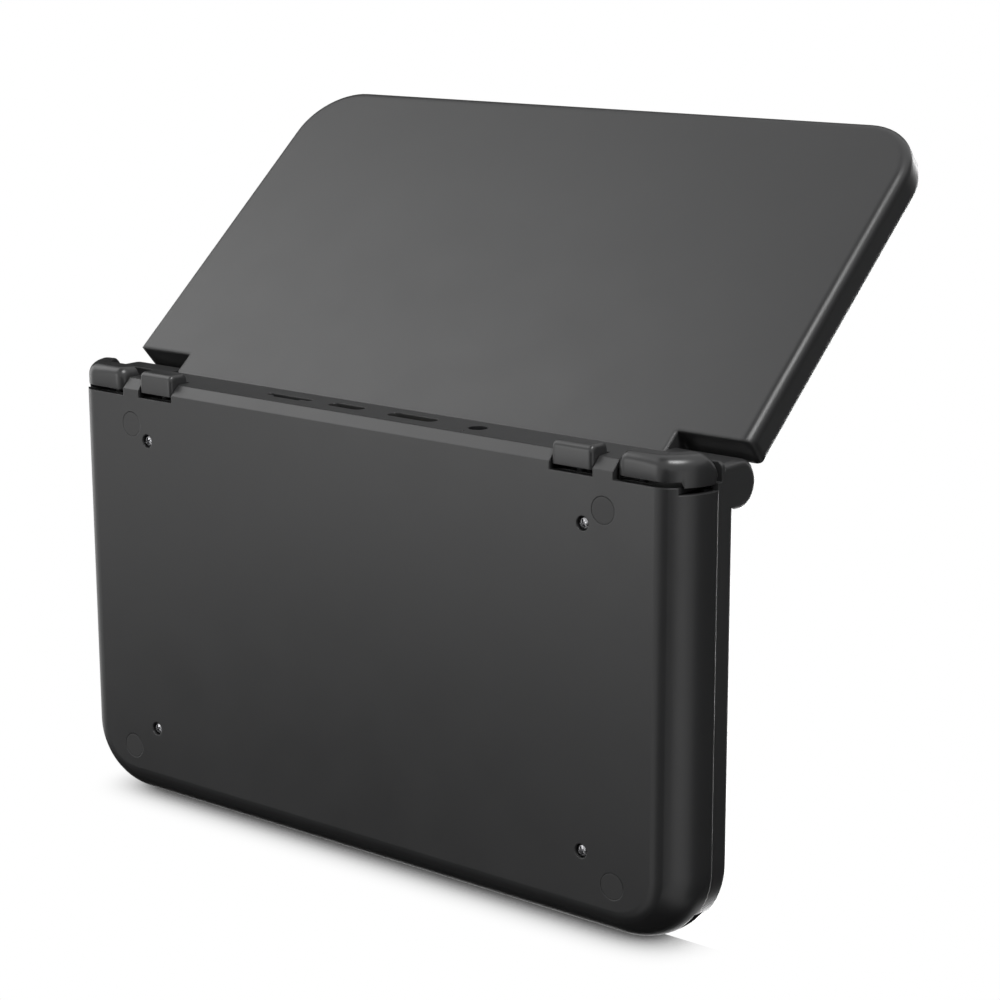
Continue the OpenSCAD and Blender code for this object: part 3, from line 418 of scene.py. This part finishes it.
screenLook = {"black": (0.004, 0.0042, 0.005), "coat": 0.6,
              "grain": {"Tone": 0.3, "Gloss": 0.05, "Roughness": 0.06}}


def makeGlassMaterial(v):
    # black glass with a hard clear coat and a trace of smear
    material, tree, out = newMaterial("screenGlass")
    skin = addNode(tree, "ShaderNodeBsdfPrincipled", {"Specular IOR Level": 0.5, "Coat Weight": v["coat"]})
    addGrain(tree, skin, v["black"], v["grain"])
    tree.links.new(skin.outputs["BSDF"], out.inputs["Surface"])
    return material


# the tongues' places are (middle, half width) along x, in metres; middle and half are along z
socketLook = {"steel": (0.62, 0.62, 0.63), "tongue": (0.34, 0.33, 0.10), "middle": 0.0068, "half": 0.0007,
              "places": ((0.0066, 0.0029), (-0.0101, 0.0044)),
              "grain": {"Scale": 7000.0, "Tone": 0.2, "Roughness": 0.28}}


def makeSocketMaterial(v):
    # pressed steel, with the plastic tongues inside picked out by their place
    material, tree, out = newMaterial("socketShell")
    skin = addNode(tree, "ShaderNodeBsdfPrincipled", {"Specular IOR Level": 0.5})
    place = addNode(tree, "ShaderNodeTexCoord")
    split = addNode(tree, "ShaderNodeSeparateXYZ")
    tree.links.new(place.outputs["Object"], split.inputs["Vector"])
    level = mathNode(tree, "COMPARE", split.outputs["Z"], v["middle"], v["half"])
    spans = [mathNode(tree, "COMPARE", split.outputs["X"], x, half) for x, half in v["places"]]
    tongue = mathNode(tree, "MULTIPLY", mathNode(tree, "MAXIMUM", *spans), level)
    paint = addNode(tree, "ShaderNodeMix", {6: (*v["steel"], 1), 7: (*v["tongue"], 1)}, data_type="RGBA")
    tree.links.new(tongue, paint.inputs[0])
    addGrain(tree, skin, paint.outputs[2], v["grain"])
    tree.links.new(mathNode(tree, "SUBTRACT", 1.0, tongue), skin.inputs["Metallic"])
    tree.links.new(skin.outputs["BSDF"], out.inputs["Surface"])
    return material


madeMaterials["socketShell"] = makeSocketMaterial(socketLook)
madeMaterials["circuitBoard"] = makeBoardMaterial(boardLook)
madeMaterials["screenGlass"] = makeGlassMaterial(screenLook)

# which finish each piece has
nodeFinish = {
    "baseHousing": ["bottom_cover", "top_shell"],
    "lidHousing": ["lid_cover"],
    "shoulderKeys": ["left_corner_shoulder_key", "right_corner_shoulder_key",
                     "left_inner_shoulder_key", "right_inner_shoulder_key"],
    "circuitBoard": ["main_board", "left_control_board", "right_control_board"],
    "socketShell": ["memory_card_socket", "charging_socket", "video_socket"],
    "pressedSteel": ["processor_shield", "lanyard_pin"],
    "socketPlastic": ["audio_socket", "left_speaker", "right_speaker"],
    "batteryFoil": ["battery"],
    "silicone": ["left_membrane", "right_membrane"],
    "innerPlastic": ["key_switches", "shoulder_switches", "left_stick_module", "right_stick_module"],
    "palePlastic": ["left_stick_gimbal", "right_stick_gimbal", "cross_pad_pivot"],
    "stickRubber": ["left_stick_cap", "right_stick_cap"],
    "controlPlastic": ["cross_pad", "face_button_top", "face_button_right", "face_button_bottom",
                       "face_button_left", "volume_up_key", "volume_down_key", "select_key", "back_key",
                       "power_key", "start_key", "home_key"],
    "rubber": ["rubber_feet", "lid_bumpers"],
    "screwSteel": ["housing_screws", "lid_screws"],
    "hingeSteel": ["left_hinge_sleeve", "right_hinge_sleeve", "left_hinge_pin", "right_hinge_pin"],
    "bezelPlastic": ["lid_bezel"],
    "screenGlass": ["screen_glass"],
    "panelBack": ["display_panel"],
    "cableFilm": ["display_cable"],
}
for finish, names in nodeFinish.items():
    for name in names:
        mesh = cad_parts[name].data
        mesh.materials.clear()
        mesh.materials.append(madeMaterials[finish])
bare = [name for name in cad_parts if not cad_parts[name].data.materials]
print("materials set, without one:", bare)

# the new pieces are surfaces worked out in millimetres, over the solids they stand for


def closedGrid(points):
    # rows x columns of points: the columns close into loops, and a pole at the mean of the end row
    # shuts each end
    rows, cols = points.shape[:2]
    index = np.arange(rows * cols).reshape(rows, cols)
    after = np.roll(index, -1, axis=1)
    quads = np.stack([index[:-1], after[:-1], after[1:], index[1:]], axis=-1).reshape(-1, 4)
    poles = np.stack([points[0].mean(axis=0), points[-1].mean(axis=0)])
    first = np.stack([np.full(cols, rows * cols), after[0], index[0]], axis=-1)
    last = np.stack([np.full(cols, rows * cols + 1), index[-1], after[-1]], axis=-1)
    return np.vstack([points.reshape(-1, 3), poles]), quads.tolist() + first.tolist() + last.tolist()


def makePiece(name, grids, finish, node, body, sharp=35.0):
    # one mesh of closed grids, which stands for the node and rides on the body; edges sharper than
    # the angle, in degrees, stay sharp
    verts, faces, start = [], [], 0
    for grid in grids:
        points, corners = closedGrid(grid)
        verts.append(points)
        faces += [[c + start for c in face] for face in corners]
        start += len(points)
    mesh = bpy.data.meshes.new(name)
    mesh.from_pydata((np.vstack(verts) * mm).tolist(), [], faces)
    work = bmesh.new()
    work.from_mesh(mesh)
    bmesh.ops.recalc_face_normals(work, faces=work.faces)
    work.to_mesh(mesh)
    work.free()
    mesh.shade_smooth()
    mesh.set_sharp_from_angle(angle=np.radians(sharp))
    mesh.materials.append(madeMaterials[finish])
    piece = bpy.data.objects.new(name, mesh)
    bpy.context.scene.collection.objects.link(piece)
    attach(piece, body)
    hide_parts(node)


def turns(count):
    # angles evenly round one turn: 2 pi k / count
    return np.linspace(0, 2 * np.pi, count, endpoint=False)


def revolve(profile, count, place=(0, 0, 0), shape=None):
    # each profile point (r, z) is carried round z; shape may change r and z with the angle
    angle = turns(count)[None, :]
    r = np.repeat(profile[:, :1], count, axis=1)
    z = np.repeat(profile[:, 1:2], count, axis=1)
    if shape is not None:
        r, z = shape(r, z, angle)
    return np.stack([place[0] + r * np.cos(angle), place[1] + r * np.sin(angle), place[2] + z], axis=-1)


def arc(centre, radius, start, end, steps):
    # centre + radius (cos a, sin a), with a from start to end in degrees
    a = np.radians(np.linspace(start, end, steps))
    return np.stack([centre[0] + radius * np.cos(a), centre[1] + radius * np.sin(a)], axis=-1)


def line(a, b, steps):
    # (1 - t) a + t b, with t from 0 to 1
    t = np.linspace(0, 1, steps)[:, None]
    return (1 - t) * np.asarray(a, dtype=float) + t * np.asarray(b, dtype=float)


def ease(x):
    # smooth step: 3x^2 - 2x^3 between 0 and 1
    x = np.clip(x, 0, 1)
    return x * x * (3 - 2 * x)


def quarter(distance, radius):
    # how far a quarter round draws in, by the distance from its end: r - sqrt(r^2 - (r - d)^2)
    gap = np.clip(radius - distance, 0, radius)
    return radius - np.sqrt(np.maximum(radius ** 2 - gap ** 2, 0))


def column(values):
    # one value for each row of a grid
    return values[:, None]


def rodAlongY(x, z, radius, front, back, count=32, chamfer=0.15):
    # a circle of the radius about (x, z) carried along y, smaller by the chamfer at both ends
    profile = np.array([[radius - chamfer, front], [radius, front + chamfer], [radius, back - chamfer],
                        [radius - chamfer, back]])
    angle = turns(count)[None, :]
    return np.stack([x + profile[:, :1] * np.cos(angle), np.repeat(profile[:, 1:2], count, axis=1),
                     z + profile[:, :1] * np.sin(angle)], axis=-1)


sides = ((-1, "left"), (1, "right"))  # the sign of x on each side, and the side's word in the names

housingScrew = {"placeX": 55.35, "placeY": (-28.3, 32.6), "headR": 1.2, "headZ": 0.22, "headEnd": 2.2,
                "crown": 0.40, "rim": 0.08, "crossHalf": 0.15, "crossReach": 0.78, "crossDeep": 0.62,
                "crossTurn": 0.4, "crossSide": 0.07, "crossEnd": 0.12, "shaftR": 0.8, "threadDeep": 0.13,
                "pitch": 0.6, "rowsPerTurn": 6, "end": 8.0, "taper": 0.35, "tipR": 0.25}


def screwShape(v, place):
    # face: z = headZ + crown (r/headR)^2 + crossDeep * cross, the cross being 1 where the smaller of
    # |x|, |y| is under crossHalf and the larger under crossReach; shaft: r less threadDeep times
    # |saw(z / pitch + angle)|
    headR, headEnd, end = v["headR"], v["headEnd"], v["end"]
    rows = 34
    face = np.stack([np.linspace(0.03, headR, rows), np.full(rows, v["headZ"])], axis=-1)
    head = line((headR, v["headZ"] + v["crown"] + v["rim"]), (headR, headEnd), 4)
    under = line((headR, headEnd), (v["shaftR"], headEnd), 3)
    count = int((end - headEnd) / v["pitch"] * v["rowsPerTurn"])
    shaft = line((v["shaftR"], headEnd + 0.01), (v["shaftR"], end - v["taper"]), count)
    tip = line((v["shaftR"] - 0.1, end - v["taper"] + 0.05), (v["tipR"], end), 4)

    def shape(r, z, angle):
        x, y = np.abs(r * np.cos(angle + v["crossTurn"])), np.abs(r * np.sin(angle + v["crossTurn"]))
        narrow = ease((v["crossHalf"] - np.minimum(x, y)) / v["crossSide"] + 1)
        cross = narrow * ease((v["crossReach"] - np.maximum(x, y)) / v["crossEnd"])
        z[:rows] += v["crown"] * (r[:rows] / headR) ** 2 + v["crossDeep"] * cross[:rows]
        saw = np.abs(2 * ((z / v["pitch"] + angle / (2 * np.pi)) % 1.0) - 1)
        cut = (z > headEnd) & (z < end - v["taper"] + 0.01)
        return np.where(cut, r - v["threadDeep"] * saw, r), z

    return revolve(np.vstack([face, head, under[1:], shaft, tip]), 96, place, shape)


makePiece("housingScrews", [screwShape(housingScrew, (side * housingScrew["placeX"], y, 0))
                            for side, word in sides for y in housingScrew["placeY"]],
          "screwSteel", "housing_screws", "base")
print("screws made")

rubberFoot = {"places": ((59.8, 35.6), (62.4, -33.4)), "radius": 2.5, "height": 0.8, "round": 0.09}


def footShape(v, place):
    # a disc turned from a flat face, a quarter-round edge, a straight side and a flat back
    r, h, e = v["radius"], v["height"], v["round"]
    profile = np.vstack([line((0.05, 0), (r - e, 0), 12), arc((r - e, e), e, -80, 0, 7),
                         line((r, e + 0.05), (r, h), 3), line((r - 0.1, h), (0.1, h), 3)])
    return revolve(profile, 64, place)


makePiece("rubberFeet", [footShape(rubberFoot, (side * x, y, 0))
                         for side, word in sides for x, y in rubberFoot["places"]],
          "rubber", "rubber_feet", "base")
print("feet made")

cornerKey = {"side": 77.5, "inset": 0.25, "inner": 62.2, "back": 42.3, "rear": 46.7, "top": 10.3,
             "roundW": 6.8, "roundH": 9.4, "roundR": 4.4, "sideR": 10.776, "thick": 4.5,
             "underEdge": 1.8, "sideEdge": 2.6, "edgeFrom": 66.0, "edgeOver": 9.0, "innerEdge": 0.35,
             "endRound": 2.2, "endDraw": 0.9, "endSink": 0.8,
             "topRound": 4.0, "topDraw": 0.93, "topSinkR": 1.2, "topSink": 0.7,
             "lip": 1.15, "lipThick": 2.0, "lipFrom": 74.6, "lipStart": 74.72, "lipRise": 0.2,
             "lipTop": 9.35, "lipFade": 0.4,
             "plungerX": 66.2, "plungerZ": 3.2, "plungerR": 0.9, "plungerY": 40.4, "plungerEnd": 43.3}


def keyPath(v, steps):
    # the base's oval seen along the depth: flat, small arc, large arc, straight up; its rows lie
    # closer at both ends, at L (1 - cos(pi t)) / 2, and each has the outward normal (dz, -dx) / |d|
    i = v["inset"]
    c1 = (v["side"] - v["roundW"], v["roundR"])
    c2 = (v["side"] - v["sideR"], v["roundH"])
    turn = np.degrees(np.arctan2(c1[1] - c2[1], c1[0] - c2[0]))
    path = np.vstack([line((v["inner"], i), (c1[0], i), 60)[:-1],
                      arc(c1, v["roundR"] - i, -90, turn, 60)[:-1],
                      arc(c2, v["sideR"] - i, turn, 0, 90)[:-1],
                      line((v["side"] - i, v["roundH"]), (v["side"] - i, v["top"]), 20)])
    length = np.concatenate([[0], np.cumsum(np.linalg.norm(np.diff(path, axis=0), axis=1))])
    at = length[-1] * (0.5 - 0.5 * np.cos(np.linspace(0, np.pi, steps)))
    x, z = np.interp(at, length, path[:, 0]), np.interp(at, length, path[:, 1])
    dx, dz = np.gradient(x, at), np.gradient(z, at)
    size = np.hypot(dx, dz)
    return at, length[-1], x, z, dz / size, -dx / size


def keyShape(v, side, steps=110):
    # a rounded rectangle (depth below the skin by y) carried along the oval: its rear edge has the
    # radius underEdge below and sideEdge at the side, and draws in by quarter rounds at both ends
    at, whole, x, z, nx, nz = keyPath(v, steps)
    draw = quarter(at, v["endRound"]) * v["endDraw"] + quarter(whole - at, v["topRound"]) * v["topDraw"]
    sink = quarter(at, v["endRound"]) * v["endSink"] + quarter(whole - at, v["topSinkR"]) * v["topSink"]
    rear = v["rear"] - draw
    room = rear - v["back"]
    deep = v["thick"] - sink - 0.02
    edge = v["underEdge"] + (v["sideEdge"] - v["underEdge"]) * ease((x - v["edgeFrom"]) / v["edgeOver"])
    radius = column(np.minimum(np.minimum(edge, room * 0.96), deep * 0.8))
    small = column(np.minimum(v["innerEdge"], room * 0.2))
    # the lip: the skin reaches further forward at the side, where the cover's wall ends sooner
    lip = v["back"] - column(v["lip"] * ease((x - v["lipStart"]) / v["lipRise"])
                             * ease((v["lipTop"] - z) / v["lipFade"]))
    lipDeep = column(np.clip(x - v["lipFrom"], 0.1, v["lipThick"]))
    rim = np.minimum(small * 0.3, lipDeep * 0.4)
    sink, rear, far = column(sink), column(rear), column(sink + deep)
    a = np.linspace(0, np.pi / 2, 13)[None, :]
    b = np.linspace(0, np.pi / 2, 5)[None, :]
    # loop in (depth, y): the outer rear round, the inner rear round, the inner front one, the step of
    # the lip and the outer front round
    parts = [
        (sink + radius - radius * np.cos(a), rear - radius + radius * np.sin(a)),
        (far - small + small * np.sin(b), rear - small + small * np.cos(b)),
        (far - small + small * np.cos(b), v["back"] + small * (1 - np.sin(b))),
        (sink + lipDeep, np.full((steps, 1), v["back"])),
        (sink + lipDeep, lip),
        (sink + rim - rim * np.sin(b), lip + rim * (1 - np.cos(b))),
    ]
    depth = np.concatenate([part[0] for part in parts], axis=1)
    y = np.concatenate([part[1] for part in parts], axis=1)
    return np.stack([side * (column(x) - column(nx) * depth), y, column(z) - column(nz) * depth], axis=-1)


innerKey = {"inner": 48.1, "width": 9.2, "back": 42.3, "rear": 46.7, "low": 0.2, "high": 5.0,
            "edge": 1.2, "frontEdge": 0.2, "endRound": 0.9, "endDraw": 0.92,
            "plungerX": 52.7, "plungerZ": 3.2, "plungerR": 0.9, "plungerY": 40.4, "plungerEnd": 43.3}


def innerKeyShape(v, side, steps=41):
    # a rounded rectangle (z by y) carried along x; both ends draw it in by quarter rounds
    t = 0.5 - 0.5 * np.cos(np.linspace(0, np.pi, steps))
    x = v["inner"] + v["width"] * t
    fromEnd = np.minimum(x - v["inner"], v["inner"] + v["width"] - x)
    draw = column(v["endDraw"] * quarter(fromEnd, v["endRound"]))
    low, high, rear = v["low"] + draw, v["high"] - draw, v["rear"] - draw
    back = np.full((steps, 1), v["back"])
    a = np.linspace(0, np.pi / 2, 10)[None, :]
    r, e = v["edge"], v["frontEdge"]
    parts = [(low + r - r * np.cos(a), rear - r + r * np.sin(a)),
             (high - r + r * np.sin(a), rear - r + r * np.cos(a)),
             (high - e + e * np.cos(a), back + e - e * np.sin(a)),
             (low + e - e * np.sin(a), back + e - e * np.cos(a))]
    z = np.concatenate([part[0] for part in parts], axis=1)
    y = np.concatenate([part[1] for part in parts], axis=1)
    return np.stack([np.repeat(side * column(x), z.shape[1], axis=1), y, z], axis=-1)


def makeShoulderKeys(place, v, keyBody, sharp):
    # a key on each side, with the plunger that reaches in to its switch
    for side, word in sides:
        plunger = rodAlongY(side * v["plungerX"], v["plungerZ"], v["plungerR"],
                            v["plungerY"], v["plungerEnd"])
        node = word + "_" + place + "_shoulder_key"
        makePiece(word + place.capitalize() + "Key", [keyBody(v, side), plunger],
                  "shoulderKeys", node, node, sharp)


makeShoulderKeys("corner", cornerKey, keyShape, 60.0)
makeShoulderKeys("inner", innerKey, innerKeyShape, 50.0)
print("shoulder keys made")

stick = {"placeX": 59.0, "placeY": 19.0, "pivotZ": 9.1, "capZ": 12.1, "capT": 1.3, "capR": 6.5, "edge": 0.6,
         "dishR": 15.8, "dishZ": 28.8, "grooveAt": 4.55, "grooveHalf": 0.28, "grooveDeep": 0.16,
         "grooveRoom": 0.45, "ridges": 40, "ridgeDeep": 0.13, "ridgeFrom": 0.12, "ridgeFade": 0.25,
         "neckR": 2.6, "neckLong": 1.0, "stemR": 1.5, "stemEnd": 1.1, "chamfer": 0.1,
         "pivotR": 0.6, "pivotLength": 3.9}


def stickShape(v, place):
    # top: the lower of the flat rim and the dish z = dishZ - sqrt(dishR^2 - r^2), less a round groove;
    # side: r less ridgeDeep times the square of cos(ridges * angle / 2)
    low, top = v["capZ"], v["capZ"] + v["capT"]
    side, e, c = v["capR"] - v["edge"], v["edge"], v["chamfer"]
    near, far = v["grooveAt"] - v["grooveRoom"], v["grooveAt"] + v["grooveRoom"]
    r = np.concatenate([np.linspace(c, near - c, 14), np.linspace(near, far, 14),
                        np.linspace(far + c, side, 5)])
    z = np.minimum(top, v["dishZ"] - np.sqrt(v["dishR"] ** 2 - r ** 2))
    groove = np.cos(np.clip((r - v["grooveAt"]) / v["grooveHalf"], -1, 1) * np.pi / 2) ** 2
    neck, foot = low - v["neckLong"], v["pivotZ"] - v["stemEnd"]
    profile = np.vstack([
        np.stack([r, z - v["grooveDeep"] * groove], axis=-1), arc((side, top - e), e, 82, 0, 8),
        arc((side, low + e), e, 0, -82, 8), line((side, low), (v["neckR"] + c, low), 4),
        line((v["neckR"], low - c), (v["neckR"], neck), 3),
        line((v["stemR"] + c, neck), (v["stemR"], neck - c), 2),
        line((v["stemR"], neck - 3 * c), (v["stemR"], foot + 1.5 * c), 3), [[v["stemR"] - 2 * c, foot]]])

    def shape(r, z, angle):
        ridge = ease((r - side - v["ridgeFrom"]) / v["ridgeFade"]) * (z > low - 0.01)
        return r - ridge * v["ridgeDeep"] * np.cos(v["ridges"] * angle / 2) ** 2, z

    return revolve(profile, 240, place, shape)


for side, word in sides:
    stickX, node = side * stick["placeX"], word + "_stick_cap"
    pivot = rodAlongY(stickX, stick["pivotZ"], stick["pivotR"], stick["placeY"] - stick["pivotLength"],
                      stick["placeY"] + stick["pivotLength"])
    makePiece(word + "StickCap", [stickShape(stick, (stickX, stick["placeY"], 0)), pivot],
              "stickRubber", node, node, 40.0)
print("sticks made")

crossPad = {"placeX": -59.0, "placeY": -10.0, "top": 14.3, "plateZ": 10.75, "plateT": 0.5, "span": 19.6,
            "arm": 6.4, "flange": 0.6, "flangeWide": 0.8, "edge": 0.55, "chamfer": 0.05, "corner": 14.0,
            "ballZ": 10.63, "ballR": 1.25, "dishR": 10.0, "dishUp": 9.6,
            "markAt": 7.1, "markLong": 1.7, "markDeep": 0.16, "markSlope": 1.2, "markSoft": 0.4}


def crossRadius(span, arm, angle, power):
    # outline of a cross: the larger of two rounded rectangles, each r = (|c / a|^p + |s / b|^p)^(-1/p)
    c, s = np.abs(np.cos(angle)), np.abs(np.sin(angle))
    one = ((c / span) ** power + (s / arm) ** power) ** (-1 / power)
    two = ((c / arm) ** power + (s / span) ** power) ** (-1 / power)
    return np.maximum(one, two)


def crossShape(v):
    # rings of the cross outline: the top with a round dish and a triangular dimple on each arm, its
    # edge rounded, the sides, the plate below, and the ball's hollow from below
    even = turns(320)
    angle = even + 0.0125 * np.sin(8 * even)
    half, arm = v["span"] / 2, v["arm"] / 2
    top = crossRadius(half, arm, angle, v["corner"])
    plate = crossRadius(half + v["flange"], arm + v["flangeWide"], angle, v["corner"])
    inner = top - v["edge"]
    flat = 0.94  # the rows of the top are set out by this share, and reach the inner outline at it
    share = np.concatenate([np.linspace(0.02, 0.5, 16), np.linspace(0.52, flat, 26)])
    r = column(share) * inner / flat
    z = np.minimum(v["top"], v["top"] + v["dishUp"] - np.sqrt(np.maximum(v["dishR"] ** 2 - r ** 2, 0)))
    x, y = np.abs(r * np.cos(angle)), np.abs(r * np.sin(angle))
    along, across = np.maximum(x, y), np.minimum(x, y)
    point = ease((v["markAt"] + v["markLong"] - along - across * v["markSlope"]) / v["markSoft"])
    mark = point * ease((along - v["markAt"] + v["markSoft"] / 2) / v["markSoft"])
    rings, heights = [r], [z - v["markDeep"] * mark]
    for a in np.radians(np.linspace(15, 90, 6)):
        rings.append(inner + v["edge"] * np.sin(a))
        heights.append(np.full_like(top, v["top"] - v["edge"] * (1 - np.cos(a))))
    low, high, c = v["plateZ"], v["plateZ"] + v["plateT"], v["chamfer"]
    mouth = np.full_like(top, np.sqrt(v["ballR"] ** 2 - (low - v["ballZ"]) ** 2))
    for ring, height in ((top, high + 0.02), (plate - c, high), (plate, high - c), (plate, low + c),
                         (plate - c, low), (mouth, low)):
        rings.append(ring)
        heights.append(np.full_like(top, height))
    for a in np.radians(np.linspace(12, 86, 10)):
        rings.append(np.full_like(top, v["ballR"] * np.cos(a)))
        heights.append(np.full_like(top, v["ballZ"] + v["ballR"] * np.sin(a)))
    r = np.vstack(rings)
    return np.stack([v["placeX"] + r * np.cos(angle), v["placeY"] + r * np.sin(angle), np.vstack(heights)],
                    axis=-1)


makePiece("crossPad", [crossShape(crossPad)], "controlPlastic", "cross_pad", "cross_pad", 40.0)

faceButton = {"placeX": 59.0, "placeY": -10.0, "step": 9.0, "radius": 3.9, "edge": 0.7, "top": 14.8,
              "crown": 0.28, "flangeZ": 11.3, "flangeT": 0.7, "flange": 0.6, "chamfer": 0.05,
              "which": {"right": 0, "top": 90, "left": 180, "bottom": 270}}


def buttonShape(v, place):
    # a domed top, z = top - crown (r / radius)^2, a rounded edge, a straight side and the flange below
    side, c = v["radius"] - v["edge"], v["chamfer"]
    low, high, wide = v["flangeZ"], v["flangeZ"] + v["flangeT"], v["radius"] + v["flange"]
    r = np.linspace(0.1, side, 14)
    profile = np.vstack([np.stack([r, v["top"] - v["crown"] * (r / side) ** 2], axis=-1),
                         arc((side, v["top"] - v["crown"] - v["edge"]), v["edge"], 80, 0, 8),
                         [[v["radius"], high + 0.02], [wide - c, high], [wide, high - c], [wide, low + c],
                          [wide - c, low], [0.2, low]]])
    return revolve(profile, 96, place)


for word, degrees in faceButton["which"].items():
    node, a = "face_button_" + word, np.radians(degrees)
    place = (faceButton["placeX"] + faceButton["step"] * np.cos(a),
             faceButton["placeY"] + faceButton["step"] * np.sin(a), 0)
    makePiece("faceButton" + word.capitalize(), [buttonShape(faceButton, place)],
              "controlPlastic", node, node, 40.0)
print("controls made")
